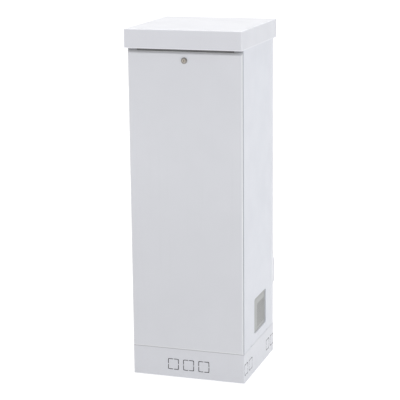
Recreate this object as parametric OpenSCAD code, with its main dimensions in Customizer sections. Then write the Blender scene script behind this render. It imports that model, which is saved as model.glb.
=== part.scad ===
// Free-standing roadside utility cabinet of folded sheet steel: plinth with cable knock-outs,
// body, box lid and one full-height front cover that hooks in at the bottom and locks at the top.
// X is the width, the front faces -Y, Z is up, and the origin is on the ground under the centre.

/* [Cabinet] */
// Overall height, ground to the top of the lid
total_h = 1200; // [1000:5:1500]
// Width of the body and plinth
body_w = 400; // [360:5:600]
// Depth of the body and plinth
body_d = 375; // [335:5:560]
// Thickness of the body and lid sheet
sheet_t = 1.5; // [1:0.5:2]
// Outer radius of the body's folded edges
bend_r = 4.5; // [3.5:0.5:6]
// Width of the frame around the front opening
front_frame_w = 32; // [30:1:40]
// Depth of the return that stiffens the front frame
front_return = 12; // [10:0.5:14]

/* [Plinth] */
// Height of the plinth
plinth_h = 104; // [90:1:200]
// Thickness of the plinth sheet
plinth_t = 1.5; // [1.5:0.5:3]
// Width of the plinth's inward flanges
plinth_flange = 38; // [34:1:50]
// Outside width of a square knock-out
knockout_w = 39; // [30:1:45]
// Distance between neighbouring knock-outs
knockout_pitch = 55; // [50:1:60]
// Height of the knock-out centres above the ground
knockout_z = 45.5; // [30:0.5:60]
// Width of the cut line around a knock-out
knockout_slot = 2.4; // [1:0.1:3]
// Width of the tabs that hold a knock-out in place
knockout_tab = 3; // [2:0.5:5]
// Clear margin between a side knock-out and the plinth corner
knockout_margin = 3; // [3:0.5:10]
// Diameter of the foundation bolt holes
anchor_hole_d = 12; // [8:0.5:16]
// Distance of the foundation bolt holes from the outside faces
anchor_inset = 26; // [24:1:34]

/* [Lid] */
// Height of the lid's skirt
lid_skirt = 64; // [50:1:80]
// Overhang of the lid in front of and behind the body
lid_over = 27; // [25:1:50]
// Clearance between the lid's skirt and the body sides
lid_gap = 0.5; // [0.5:0.5:3]
// Height from the skirt's lower edge to the top of the body
lid_overlap = 14; // [10:1:30]
// Depth of the inward return along the skirt's lower edge
lid_return = 9; // [6:1:16]

/* [Front cover] */
// Distance that the cover stands proud of the body
cover_proud = 8; // [8:0.5:12]
// Distance of the cover's edge from the body side
cover_inset = 2.5; // [2:0.5:8]
// Gap between the cover's returns and the body front
cover_gap = 3; // [2.5:0.5:3]
// Gap between the cover and the plinth top
cover_lift = 1; // [1:0.5:3]
// Gap between the cover's sloping top edge and the skirt's lower edge
cover_top_gap = 9; // [6:1:14]
// Rise of the cover's sloping top edge
cover_slope = 7; // [6:0.5:10]
// Diameter of the pins that the cover hooks over
hook_pin_d = 3; // [2.5:0.5:3.5]
// Distance of the hooks from the middle
hook_x = 120; // [80:1:130]
// Height of the hook pins above the cover's lower edge
hook_rise = 5.5; // [5.3:0.1:6]
// Running clearance between a hook and its pin
hook_play = 0.2; // [0.1:0.05:0.3]

/* [Lock] */
// Distance from the skirt's lower edge down to the lock
lock_drop = 38.5; // [36:0.5:60]
// Diameter of the lock's head
lock_head_d = 21; // [20:1:26]
// Diameter of the lock's threaded body
lock_body_d = 18; // [16:1:20]
// Diameter of the turning plug
lock_plug_d = 12; // [10:1:13]
// Length of the cam from the lock's axis
cam_len = 38; // [34:1:44]
// Width of the cam
cam_w = 16; // [14:1:18]

/* [Vent] */
// Width of the vent opening in the right side
vent_w = 150; // [130:1:175]
// Height of the vent opening
vent_h = 127; // [105:1:160]
// Distance of the vent opening from the body front
vent_y = 124; // [105:1:140]
// Height of the vent opening's lower edge
vent_z = 135; // [128:1:160]
// Corner radius of the vent opening
vent_r = 10; // [6:1:26]
// Recess of the perforated plate behind the side's outer face
vent_recess = 5; // [3:0.5:6]
// Diameter of the round perforations
perf_d = 5; // [4:0.5:6]
// Distance between neighbouring perforations
perf_pitch = 8; // [7:0.5:10]

/* [Rear hood] */
// Height of the rear hood's lower edge
hood_z = 256; // [240:1:300]
// Height of the rear hood above its lower edge
hood_h = 96; // [80:1:120]
// Distance that the rear hood stands out
hood_out = 15; // [12:1:25]

/* [Inside] */
// Height of the mounting plate
plate_h = 790; // [600:10:900]
// Distance from the rear panel to the mounting plate
plate_standoff = 40; // [30:1:60]
// Diameter of the mounting plate's studs
plate_stud_d = 8; // [6:1:10]
// Distance of the cable rail above the base
cable_rail_z = 110; // [90:1:140]
// Distance from the rear panel to the cable rail
cable_rail_standoff = 30; // [25:1:60]
// Diameter of the cable clamps' bore
clamp_d = 30; // [20:1:36]
// Diameter of the cable entries in the gland plate
entry_d = 44; // [30:1:50]

/* [Hidden] */

$fn = 48;
bend_steps = 5;
fit_gap = 0.3;
tiny = 0.01;
eps = 1;

front_y = -body_d / 2;
back_y = body_d / 2;
side_x = body_w / 2;
lid_z = total_h - lid_skirt;
body_top = lid_z + lid_overlap;
seam_gap = 0.6;
seam_notch_r = 3.2;
seam_notches = [85, body_d - 95];

knockout_r = 5;
knockout_relief_r = 1.9;
plinth_corner_r = 3;
plinth_inner_r = max(plinth_corner_r - plinth_t, 0.5);

tray_t = 2;
tray_x = side_x - sheet_t - fit_gap;
frame_x = side_x - front_frame_w;
sill_h = 42;
head_drop = 26;
upstand_h = 25;
head_z = lid_z - head_drop;
lap_w = 22;
lap_step = sheet_t + 0.2;
tray_back = back_y - sheet_t - lap_step;

bolt_x = side_x - 24;
bolt_y = body_d / 2 - 24;
m8_r = 4;
m8_hole_r = 4.5;
m8_flats = 13;
m8_head_t = 5.3;
m8_nut_t = 6.5;
m8_len = 19;
washer_r = 8;
washer_t = 1.6;
m6_r = 3;
m6_hole_r = 3.3;
m6_flats = 10;
m6_nut_t = 5;
m6_head_t = 4;
m6_len = 16;
m4_flats = 7;
m4_nut_t = 3.2;
m5_r = 2.5;
m5_head_r = 4.5;
m5_head_t = 2.8;
rivet_hole_r = 2;
rivet_r = 1.95;
rivet_head_r = 3.5;
rivet_tail_r = 3;
rivet_head_t = 1.2;
snug = 0.05;
loose = 0.2;
free = 0.3;

gland_w = 260;
gland_d = 180;
gland_lap = 15;
gland_t = 2;
gland_corner_r = 6;
gland_screw_len = 12;
gland_y = -12;
entry_pitch = 80;
grommet_play = 0.1;

lid_bend_r = 2.5;
channel_w = 40;
channel_foot = 16;
channel_x = 120;
channel_bolt_y = 120;
channel_len = body_d - 60;
lid_gasket_t = 2;
lid_gasket_w = 30;

cover_y = front_y - cover_proud;
cover_in_y = cover_y + sheet_t;
cover_rim_y = front_y - cover_gap;
cover_x = side_x - cover_inset;
cover_z = plinth_h + cover_lift;
cover_top = lid_z - cover_top_gap;
cover_face_top = cover_top - cover_slope;
cover_bend_r = 4.5;
cover_brow_r = 8;
stiffener_x = 22;
stiffener_foot_x = 42;
stiffener_d = 20;
stiffener_end = 20;
seal_w = 12;
seal_head_w = 6;
seal_x = frame_x + 5;
seal_z = plinth_h + 26;
seal_top = head_z + 6;

pin_r = hook_pin_d / 2;
pin_y = (front_y + cover_in_y) / 2;
pin_z = cover_z + hook_rise;
hook_t = 3;
hook_rib = 12;
hook_r = min(front_y - pin_y, hook_rise - sheet_t) - fit_gap;
hook_top = pin_z + hook_rib;
ear_t = 2;
ear_gap = 1;
ear_foot = 1;
ear_r = pin_r + 1.3;
bracket_w = hook_t + 2 * (ear_gap + ear_t);
bracket_wing = 9;
bracket_h = 13;
bracket_rivet_rise = 6;
pin_press = 0.03;
pin_end = 1;

lock_z = lid_z - lock_drop;
lock_head_t = 2.5;
lock_body_end = front_y + front_return - 0.5;
lock_nut_t = 5;
lock_nut_r = 13;
plug_play = 0.05;
plug_proud = 0.6;
plug_tail_r = 4;
plug_end = 0.3;
key_w = 2;
key_h = 7;
key_d = 9;
cam_y = front_y + front_return + 0.6;
cam_t = 3;
cam_tip_r = 4;
cam_washer_r = 7;
cam_washer_t = 1.2;
cam_nut_flats = 8;
cam_nut_t = 4;

vent_mid_y = front_y + vent_y + vent_w / 2;
vent_mid_z = vent_z + vent_h / 2;
vent_face_x = side_x - vent_recess;
vent_plate_t = 1;
vent_lap = 18;
vent_lap_z = 14;
vent_stud_in = 9;
vent_stud_drop = 20;
vent_stud_r = 2;
vent_stud_end = 8;
vent_rim_r = 3;
filter_t = 10;
filter_w = vent_w + 6;
filter_h = vent_h + 10;
filter_play = 0.5;
retainer_t = 1;
retainer_wing = 14;
retainer_rim = 12;
perf_in_y = 54;
perf_in_z = 17;
perf_end_y = 8;
perf_end_z = 28;
perf_row_pitch = perf_pitch * sin(60);
perf_cols = floor((vent_w - perf_in_y - perf_end_y) / perf_pitch) + 1;
perf_rows = floor((vent_h - perf_in_z - perf_end_z) / perf_row_pitch) + 1;
perf_y = front_y + vent_y + perf_in_y;
perf_z = vent_z + perf_in_z;

hood_flange = 16;
hood_top = hood_z + hood_h;
hood_slope_h = 18;
hood_slots = 7;
hood_slot_w = 36;
hood_slot_h = 8;
hood_slot_rise = 9;
hood_inset = 0.5;
hood_rake = 1;
hood_rivet_pitch = (side_x - 24) / 2;
hood_slot_pitch = 50;

plate_t = 2;
plate_corner_r = 5;
plate_stud_end = 12;
plate_nut_flats = plate_stud_d * 1.6;
plate_nut_t = 7;
plate_nut_flange = 4.5;
plate_nut_flange_t = 1.4;
spacer_wall = 3;
plate_w = body_w - 70;
plate_z = plinth_h + 176;
plate_y = back_y - sheet_t - plate_standoff - plate_t;
plate_stud_x = plate_w / 2 - 16;
plate_stud_z = plate_h / 2 - 20;
plate_mid_z = plate_z + plate_h / 2;
rail_len = plate_w - 30;
rail_screw_x = rail_len / 2 - 25;
rail_upper_z = plate_z + plate_h - 150;
rail_lower_z = rail_upper_z - 250;
rail_screw_r = 3;
rail_head_r = 5.5;
rail_head_t = 3.2;
rail_screw_end = 6;
rail_d = 7.5;
rail_t = 1;
rail_bend_r = 1.6;
rail_edge = 17.5;
rail_step = 12.5;

c_rail_w = 30;
c_rail_d = 15;
c_rail_t = 2;
c_rail_lip = 7;
c_rail_bend_r = 2.8;
c_rail_stud_end = 3;
c_rail_len = plate_w;
c_rail_mid_z = plinth_h + cable_rail_z;
c_rail_y = back_y - sheet_t - cable_rail_standoff - c_rail_d;
c_rail_stud_x = c_rail_len / 2 - 20;
clamp_pitch = entry_pitch;
clamp_wall = 3;
clamp_h = 20;
clamp_ear = 10;
clamp_foot_t = 6;
clamp_bolt_r = 2.5;
clamp_bolt_x = clamp_d / 2 + clamp_wall + clamp_ear / 2;
clamp_head_r = 4.8;
clamp_head_t = 3.5;
hammer_w = 6;
hammer_t = 3;
hammer_h = c_rail_w - 2 * c_rail_t - 2;

earth_len = 180;
earth_w = 20;
earth_t = 5;
earth_z = plate_z + 70;
earth_standoff = 20;
earth_spacer_x = earth_len / 2 - 15;
earth_screw_count = 6;
earth_screw_pitch = 22;
earth_spacer_r = 8;
earth_screw_end = 4;
earth_head_t = 3;
earth_tip = 2;

paint_grey = [0.86, 0.87, 0.89];

// Unit vector along v
function unit(v) = v / norm(v);

// Z part of the cross product, positive where b turns left of a
function turn(a, b) = a.x * b.y - a.y * b.x;

// Points of the arc of radius r that rounds the corner b between a and c
function corner_arc(a, b, c, r) =
    let (u = unit(a - b), v = unit(c - b), half = acos(u * v) / 2)
    let (centre = b + unit(u + v) * r / sin(half), start = b + u * r / tan(half) - centre)
    let (sweep = sign(turn(b - a, c - b)) * (180 - 2 * half), a0 = atan2(start.y, start.x))
    [for (i = [0:bend_steps]) let (a = a0 + sweep * i / bend_steps) centre + r * [cos(a), sin(a)]];

// Closed outline with each corner rounded by its own radius, 0 for a sharp one
function rounded_outline(pts, radii) =
    let (n = len(pts))
    [for (i = [0:n - 1]) each radii[i] > 0
        ? corner_arc(pts[(i + n - 1) % n], pts[i], pts[(i + 1) % n], radii[i]) : [pts[i]]];

// Path of one sheet face, bent with outer radius r; the sheet lies left of it (side 1) or right (-1)
function bent_path(pts, t, r, side) =
    [pts[0],
        for (i = [1:len(pts) - 2])
            let (a = pts[i - 1], b = pts[i], c = pts[i + 1], outer = side * turn(b - a, c - b) > 0)
            each corner_arc(a, b, c, outer ? r : r - t),
        pts[len(pts) - 1]];

// Mitred left normal of a path at point i
function path_normal(p, i) =
    let (last = len(p) - 1)
    let (d0 = unit(i > 0 ? p[i] - p[i - 1] : p[1] - p[0]))
    let (d1 = unit(i < last ? p[i + 1] - p[i] : p[i] - p[i - 1]))
    let (m = unit(d0 + d1), n = [-m.y, m.x])
    n / (n * [-d0.y, d0.x]);

// Section of a folded sheet of thickness t
function sheet(pts, t, r, side) =
    let (p = bent_path(pts, t, r, side))
    concat(p, [for (i = [len(p) - 1:-1:0]) p[i] + side * t * path_normal(p, i)]);

// Box between two corners
module block(low, high) {
    translate(low)
        cube(high - low);
}

// Extrudes a section drawn in Y and Z along X
module along_x(x0, x1) {
    translate([x0, 0, 0])
        rotate([90, 0, 90])
            linear_extrude(x1 - x0)
                children();
}

// Extrudes a section drawn in X and Z along Y
module along_y(y0, y1) {
    translate([0, y1, 0])
        rotate([90, 0, 0])
            linear_extrude(y1 - y0)
                children();
}

// Cylinder along X
module rod_x(r, x0, x1) {
    translate([x0, 0, 0])
        rotate([0, 90, 0])
            cylinder(r = r, h = x1 - x0);
}

// Cylinder along Y
module rod_y(r, y0, y1) {
    translate([0, y0, 0])
        rotate([-90, 0, 0])
            cylinder(r = r, h = y1 - y0);
}

// Hexagon prism along Z with width across flats af
module hex_prism(af, h) {
    cylinder(d = af / cos(30), h = h, $fn = 6);
}

// Rectangle with rounded corners, centred
module rounded_rect(w, h, r) {
    x = w / 2;
    y = h / 2;
    polygon(rounded_outline([[-x, -y], [x, -y], [x, y], [-x, y]], [r, r, r, r]));
}

// Places children at the four corners of a rectangle
module at_corners(x, y) {
    for (sx = [-1, 1], sy = [-1, 1])
        translate([sx * x, sy * y, 0])
            children();
}

// Cut line around one knock-out, broken by four tabs, with round relief holes at its corners
module knockout_outline() {
    inner_w = knockout_w - 2 * knockout_slot;
    relief = knockout_w / 2 - knockout_r * 0.45;
    difference() {
        rounded_rect(knockout_w, knockout_w, knockout_r);
        rounded_rect(inner_w, inner_w, knockout_r - knockout_slot);
        square([knockout_tab, knockout_w + eps], center = true);
        square([knockout_w + eps, knockout_tab], center = true);
    }
    for (sx = [-1, 1], sy = [-1, 1])
        translate([sx * relief, sy * relief])
            circle(r = knockout_relief_r);
}

// Plinth: welded ring with inward flanges, knock-outs on all sides and bolt holes
module plinth() {
    side_k = body_d / 2 - knockout_margin - knockout_w / 2;
    side_rows = [-side_k, -side_k + knockout_pitch, side_k - knockout_pitch, side_k];
    color(paint_grey)
        difference() {
            linear_extrude(plinth_h)
                rounded_rect(body_w, body_d, plinth_corner_r);
            translate([0, 0, plinth_t])
                linear_extrude(plinth_h - 2 * plinth_t)
                    rounded_rect(body_w - 2 * plinth_t, body_d - 2 * plinth_t, plinth_inner_r);
            block([-side_x + plinth_flange, front_y + plinth_flange, -eps],
                [side_x - plinth_flange, back_y - plinth_flange, plinth_h + eps]);
            for (y = [front_y, back_y], i = [-1:1])
                translate([i * knockout_pitch, y, knockout_z])
                    along_y(-plinth_t - eps, plinth_t + eps)
                        knockout_outline();
            for (x = [-side_x, side_x], y = side_rows)
                translate([x, y, knockout_z])
                    along_x(-plinth_t - eps, plinth_t + eps)
                        knockout_outline();
            at_corners(side_x - anchor_inset, body_d / 2 - anchor_inset)
                translate([0, 0, -eps])
                    cylinder(d = anchor_hole_d, h = plinth_t + 2 * eps);
            at_corners(bolt_x, bolt_y)
                translate([0, 0, plinth_h - plinth_t - eps])
                    cylinder(r = m8_hole_r, h = plinth_t + 2 * eps);
        }
}

// Section of the base and top trays: front frame with return, flat web and rear upstand.
// up is 1 for the base and -1 for the top.
module tray_section(web_z, frame_z, up) {
    polygon(sheet([[front_y + front_return, frame_z], [front_y, frame_z], [front_y, web_z],
        [tray_back, web_z], [tray_back, web_z + up * upstand_h]], tray_t, tray_t + 1, up));
}

// Corner notches that let the side panels' front frames and rear laps pass a tray
module tray_notches(z0, z1) {
    lap_x = side_x - lap_step - sheet_t - fit_gap;
    for (s = [0, 1])
        mirror([s, 0, 0]) {
            block([frame_x - fit_gap, front_y - eps, z0],
                [side_x + eps, front_y + front_return + fit_gap, z1]);
            block([lap_x, back_y - lap_w - lap_step - 2 * fit_gap, z0], [side_x + eps, back_y + eps, z1]);
        }
}

// Base tray, bolted down on the plinth, with the cable opening
module base_tray() {
    color(paint_grey)
        difference() {
            along_x(-tray_x, tray_x)
                tray_section(plinth_h, plinth_h + sill_h, 1);
            tray_notches(plinth_h - eps, plinth_h + sill_h + eps);
            block([-gland_w / 2 + gland_lap, gland_y - gland_d / 2 + gland_lap, plinth_h - eps],
                [gland_w / 2 - gland_lap, gland_y + gland_d / 2 - gland_lap, plinth_h + tray_t + eps]);
            at_corners(bolt_x, bolt_y)
                translate([0, 0, plinth_h - eps])
                    cylinder(r = m8_hole_r, h = tray_t + 2 * eps);
            gland_screw_spots()
                translate([0, 0, plinth_h - eps])
                    cylinder(r = m5_r, h = tray_t + 2 * eps);
            hook_rivet_spots()
                rod_y(rivet_hole_r, front_y - eps, front_y + tray_t + eps);
        }
}

// Bolts that hold the body on the plinth
module base_bolts() {
    color("silver")
        at_corners(bolt_x, bolt_y)
            translate([0, 0, plinth_h + tray_t + washer_t]) {
                hex_prism(m8_flats, m8_head_t);
                translate([0, 0, -m8_len])
                    cylinder(r = m8_r, h = m8_len + tiny);
            }
}

// Washers under the base bolts' heads
module base_washers() {
    color("silver")
        at_corners(bolt_x, bolt_y)
            translate([0, 0, plinth_h + tray_t])
                difference() {
                    cylinder(r = washer_r, h = washer_t);
                    translate([0, 0, -eps])
                        cylinder(r = m8_r + loose, h = washer_t + 2 * eps);
                }
}

// Nuts of the base bolts, under the plinth's top flange
module base_nuts() {
    color("silver")
        at_corners(bolt_x, bolt_y)
            translate([0, 0, plinth_h - plinth_t - m8_nut_t])
                difference() {
                    hex_prism(m8_flats, m8_nut_t);
                    translate([0, 0, -eps])
                        cylinder(r = m8_r + snug, h = m8_nut_t + 2 * eps);
                }
}

// Places children at the gland plate's screws
module gland_screw_spots() {
    translate([0, gland_y, 0])
        at_corners(gland_w / 2 - gland_lap / 2, gland_d / 2 - gland_lap / 2)
            children();
}

// Gland plate over the cable opening, with three cable entries
module gland_plate() {
    color("lightgrey")
        difference() {
            translate([0, gland_y, plinth_h + tray_t])
                linear_extrude(gland_t)
                    rounded_rect(gland_w, gland_d, gland_corner_r);
            for (i = [-1:1])
                translate([i * entry_pitch, gland_y, plinth_h])
                    cylinder(d = entry_d, h = 3 * gland_t);
            gland_screw_spots()
                translate([0, 0, plinth_h])
                    cylinder(r = m5_r + free, h = 3 * gland_t);
        }
}

// Pan-head screws of the gland plate
module gland_screws() {
    color("silver")
        gland_screw_spots()
            translate([0, 0, plinth_h + tray_t + gland_t]) {
                cylinder(r = m5_head_r, h = m5_head_t);
                translate([0, 0, -gland_screw_len])
                    cylinder(r = m5_r - snug, h = gland_screw_len + tiny);
            }
}

// Half section of a grommet: stepped cone with a membrane, a collar on the plate and a lip below it
module grommet_section() {
    r = entry_d / 2;
    neck = r - grommet_play;
    rim = gland_t + grommet_play;
    polygon([[0, 8], [6, 8], [r - 6, rim], [r - 1.6, rim], [r - 1.6, -1.5], [r + 2.5, -1.5],
        [r + 2.5, -grommet_play], [neck, -grommet_play], [neck, rim], [r + 4, rim], [r + 4, rim + 3],
        [r - 5, rim + 3], [7, 10], [0, 10]]);
}

// Rubber grommets that close the cable entries with a thin membrane
module cable_grommets() {
    z = plinth_h + tray_t;
    color([0.12, 0.12, 0.12])
        for (i = [-1:1])
            translate([i * entry_pitch, gland_y, z])
                rotate_extrude()
                    grommet_section();
}

// Side panel outline seen from above, on the +X side: front frame, side and stepped rear lap
module side_section() {
    lap_y = back_y - lap_w;
    polygon(sheet([[frame_x, front_y + front_return], [frame_x, front_y], [side_x, front_y],
        [side_x, lap_y - lap_step - fit_gap], [side_x - lap_step, lap_y - fit_gap],
        [side_x - lap_step, back_y - bend_r - fit_gap]], sheet_t, bend_r - 2, 1));
}

// Plain +X side panel with its seam notches
module side_panel() {
    difference() {
        translate([0, 0, plinth_h + seam_gap])
            linear_extrude(body_top - plinth_h - seam_gap)
                side_section();
        for (y = seam_notches)
            translate([0, front_y + y, plinth_h + seam_gap])
                rod_x(seam_notch_r, side_x - sheet_t - eps, side_x + eps);
    }
}

// Left side panel
module side_panel_left() {
    color(paint_grey)
        mirror([1, 0, 0])
            side_panel();
}

// Right side panel; the vent opening's edge is turned inwards down to the vent plate
module side_panel_right() {
    color(paint_grey)
        difference() {
            union() {
                side_panel();
                translate([0, vent_mid_y, vent_mid_z])
                    along_x(vent_face_x, side_x - sheet_t / 2)
                        rounded_rect(vent_w + 2 * sheet_t, vent_h + 2 * sheet_t, vent_r + sheet_t);
            }
            translate([0, vent_mid_y, vent_mid_z])
                along_x(vent_face_x - eps, side_x + eps)
                    rounded_rect(vent_w, vent_h, vent_r);
        }
}

// Rear panel, whose side returns lap over the side panels
module rear_panel() {
    slot_z = hood_z + hood_h / 2;
    color(paint_grey)
        difference() {
            translate([0, 0, plinth_h + seam_gap])
                linear_extrude(body_top - plinth_h - seam_gap)
                    polygon(sheet([[side_x, back_y - lap_w], [side_x, back_y], [-side_x, back_y],
                        [-side_x, back_y - lap_w]], sheet_t, bend_r, 1));
            for (i = [0:hood_slots - 1], z = [slot_z - hood_slot_rise, slot_z + hood_slot_rise])
                translate([(i - (hood_slots - 1) / 2) * hood_slot_pitch, 0, z])
                    along_y(back_y - sheet_t - eps, back_y + eps)
                        rounded_rect(hood_slot_w, hood_slot_h, hood_slot_h / 2 - tiny);
            hood_rivet_spots()
                rod_y(rivet_hole_r, back_y - sheet_t - eps, back_y + eps);
            plate_corners()
                rod_y(plate_stud_d / 2 + snug, back_y - sheet_t - eps, back_y + eps);
            cable_rail_spots()
                rod_y(m6_r + snug, back_y - sheet_t - eps, back_y + eps);
        }
}

// Top tray that closes the body under the lid
module top_tray() {
    color(paint_grey)
        difference() {
            along_x(-tray_x, tray_x)
                tray_section(body_top, head_z, -1);
            tray_notches(head_z - eps, body_top + eps);
            for (s = [-1, 1])
                translate([s * channel_x, 0, 0])
                    lid_bolt_holes(body_top - tray_t);
        }
}

// Two bolt holes on the line of one lid channel
module lid_bolt_holes(z) {
    for (s = [-1, 1])
        translate([0, s * channel_bolt_y, z - eps])
            cylinder(r = m6_hole_r, h = tray_t + lid_gasket_t + sheet_t + 2 * eps);
}

// Lid: welded box with folded edges and an inward return along the front and rear skirts
module lid() {
    x = side_x + lid_gap + sheet_t;
    y = back_y + lid_over;
    rim_y = y - lid_return;
    color("white")
        difference() {
            lid_mass(x, y, lid_z, total_h, lid_bend_r);
            lid_mass(x - sheet_t, y - sheet_t, lid_z + sheet_t, total_h - sheet_t, lid_bend_r - sheet_t);
            block([-x + sheet_t, -rim_y, lid_z - eps], [x - sheet_t, rim_y, lid_z + sheet_t + eps]);
        }
}

// Box whose edges are rounded where the lid's skirts and returns are bent
module lid_mass(x, y, z0, z1, r) {
    intersection() {
        along_x(-x, x)
            polygon(rounded_outline([[-y, z0], [y, z0], [y, z1], [-y, z1]], [r, r, r, r]));
        along_y(-y, y)
            polygon(rounded_outline([[-x, z0], [x, z0], [x, z1], [-x, z1]], [0, 0, r, r]));
    }
}

// Hat channels under the lid that carry it on the top tray
module lid_channels() {
    foot_z = total_h - 2 * sheet_t;
    low = body_top + lid_gasket_t;
    color("lightgrey")
        for (s = [-1, 1])
            translate([s * channel_x, 0, 0])
                difference() {
                    along_y(-channel_len / 2, channel_len / 2)
                        polygon(sheet([[-channel_w / 2 - channel_foot, foot_z], [-channel_w / 2, foot_z],
                            [-channel_w / 2, low], [channel_w / 2, low], [channel_w / 2, foot_z],
                            [channel_w / 2 + channel_foot, foot_z]], sheet_t, sheet_t + 1, 1));
                    lid_bolt_holes(low);
                }
}

// Rubber strips between the channels and the top tray
module lid_gaskets() {
    color([0.12, 0.12, 0.12])
        for (s = [-1, 1])
            translate([s * channel_x, 0, 0])
                difference() {
                    block([-lid_gasket_w / 2, -channel_len / 2, body_top],
                        [lid_gasket_w / 2, channel_len / 2, body_top + lid_gasket_t]);
                    lid_bolt_holes(body_top);
                }
}

// Bolts that hold the lid from inside the cabinet
module lid_bolts() {
    color("silver")
        for (sx = [-1, 1], sy = [-1, 1])
            translate([sx * channel_x, sy * channel_bolt_y, body_top - tray_t - m6_head_t]) {
                hex_prism(m6_flats, m6_head_t);
                cylinder(r = m6_r, h = m6_head_t + m6_len);
            }
}

// Nuts of the lid bolts inside the channels
module lid_nuts() {
    color("silver")
        for (sx = [-1, 1], sy = [-1, 1])
            translate([sx * channel_x, sy * channel_bolt_y, body_top + lid_gasket_t + sheet_t])
                difference() {
                    hex_prism(m6_flats, m6_nut_t);
                    translate([0, 0, -eps])
                        cylinder(r = m6_r + snug, h = m6_nut_t + 2 * eps);
                }
}

// Foam seal around the front opening
module cover_seal() {
    color([0.15, 0.15, 0.15])
        difference() {
            block([-seal_x - seal_w, cover_in_y + fit_gap, seal_z], [seal_x + seal_w, front_y, seal_top]);
            block([-seal_x, cover_y, seal_z + seal_w], [seal_x, front_y + eps, seal_top - seal_head_w]);
        }
}

// Places children on the two hook centre lines
module at_hooks() {
    for (s = [-1, 1])
        translate([s * hook_x, 0, 0])
            children();
}

// Places children at the hook brackets' rivets
module hook_rivet_spots() {
    at_hooks()
        for (s = [-1, 1])
            translate([s * (bracket_w / 2 + bracket_wing / 2), 0, pin_z + bracket_rivet_rise])
                children();
}

// Brackets on the base tray whose ears hold the hook pins, notched behind the hooks
module hook_brackets() {
    color("silver")
        difference() {
            at_hooks() {
                block([-bracket_w / 2 - bracket_wing, front_y - sheet_t, pin_z - ear_foot],
                    [bracket_w / 2 + bracket_wing, front_y, pin_z + bracket_h]);
                for (s = [-1, 1])
                    translate([s * (bracket_w - ear_t) / 2 - ear_t / 2, 0, 0])
                        along_x(0, ear_t) {
                            translate([pin_y, pin_z])
                                circle(r = ear_r);
                            translate([pin_y, pin_z - ear_foot])
                                square([front_y - sheet_t + tiny - pin_y, ear_r + ear_foot]);
                        }
            }
            at_hooks()
                translate([0, pin_y, pin_z])
                    rod_x(pin_r + pin_press, -bracket_w, bracket_w);
            at_hooks()
                block([-hook_t / 2 - ear_gap, front_y - sheet_t - eps, pin_z - ear_foot - eps],
                    [hook_t / 2 + ear_gap, front_y + eps, pin_z + hook_r + fit_gap]);
            hook_rivet_spots()
                rod_y(rivet_hole_r, front_y - sheet_t - eps, front_y + eps);
        }
}

// Pins that the cover hooks over
module hook_pins() {
    color("silver")
        at_hooks()
            translate([0, pin_y, pin_z])
                rod_x(pin_r, -bracket_w / 2 - pin_end, bracket_w / 2 + pin_end);
}

// Rivets of the hook brackets
module hook_rivets() {
    color("silver")
        hook_rivet_spots() {
            rod_y(rivet_r, front_y - sheet_t - tiny, front_y + tray_t + tiny);
            rod_y(rivet_head_r, front_y - sheet_t - rivet_head_t, front_y - sheet_t);
            rod_y(rivet_tail_r, front_y + tray_t, front_y + tray_t + rivet_head_t);
        }
}

// Places children at the vent plate's fixing studs, in the side's Y and Z
module vent_stud_spots() {
    for (sy = [-1, 1], sz = [-1, 1])
        translate([0, vent_mid_y + sy * (vent_w / 2 + vent_stud_in),
            vent_mid_z + sz * (vent_h / 2 - vent_stud_drop)])
            children();
}

// Perforated plate behind the vent opening; the rim between it and the side is its own folded edge
module vent_plate() {
    w = vent_w + 2 * vent_lap;
    h = vent_h + 2 * vent_lap_z;
    rim = side_x - sheet_t;
    color([0.75, 0.76, 0.77])
        difference() {
            translate([0, vent_mid_y, vent_mid_z])
                along_x(vent_face_x - vent_plate_t, rim)
                    rounded_rect(w, h, vent_rim_r);
            translate([0, vent_mid_y, vent_mid_z])
                along_x(vent_face_x, rim + eps)
                    rounded_rect(w - 2 * vent_plate_t, h - 2 * vent_plate_t, vent_rim_r - vent_plate_t);
            for (i = [0:perf_rows - 1], j = [0:perf_cols - 1 - (i % 2)])
                translate([0, perf_y + (j + 0.5 * (i % 2)) * perf_pitch, perf_z + i * perf_row_pitch])
                    rod_x(perf_d / 2, vent_face_x - vent_plate_t - eps, vent_face_x + eps);
            vent_stud_spots()
                rod_x(vent_stud_r + loose, vent_face_x - vent_plate_t - eps, vent_face_x + eps);
        }
}

// Studs welded to the side's inner face that carry the vent plate and filter
module vent_studs() {
    color("silver")
        vent_stud_spots()
            rod_x(vent_stud_r, vent_face_x - vent_plate_t - filter_t - vent_stud_end, side_x - sheet_t);
}

// Filter mat behind the perforated plate
module vent_filter() {
    x1 = vent_face_x - vent_plate_t;
    color([0.9, 0.9, 0.88])
        translate([0, vent_mid_y, vent_mid_z])
            along_x(x1 - filter_t + filter_play, x1)
                square([filter_w, filter_h], center = true);
}

// Folded frame that presses the filter against the plate
module vent_retainer() {
    x1 = vent_face_x - vent_plate_t;
    x0 = x1 - filter_t;
    w = filter_w + 2 * retainer_t;
    h = filter_h + 2 * retainer_t;
    color("lightgrey")
        difference() {
            union() {
                translate([0, vent_mid_y, vent_mid_z])
                    along_x(x0 - retainer_t, x1)
                        square([w + 2 * retainer_t, h + 2 * retainer_t], center = true);
                translate([0, vent_mid_y, vent_mid_z])
                    along_x(x1 - retainer_t, x1)
                        square([w + 2 * retainer_wing, h + 2 * retainer_t], center = true);
            }
            translate([0, vent_mid_y, vent_mid_z])
                along_x(x0, x1 + eps)
                    square([w - 2 * filter_play, h - 2 * filter_play], center = true);
            translate([0, vent_mid_y, vent_mid_z])
                along_x(x0 - 2 * retainer_t, x1 + eps)
                    square([vent_w - 2 * retainer_rim, vent_h - 2 * retainer_rim], center = true);
            vent_stud_spots()
                rod_x(vent_stud_r + loose, x1 - retainer_t - eps, x1 + eps);
        }
}

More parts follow.
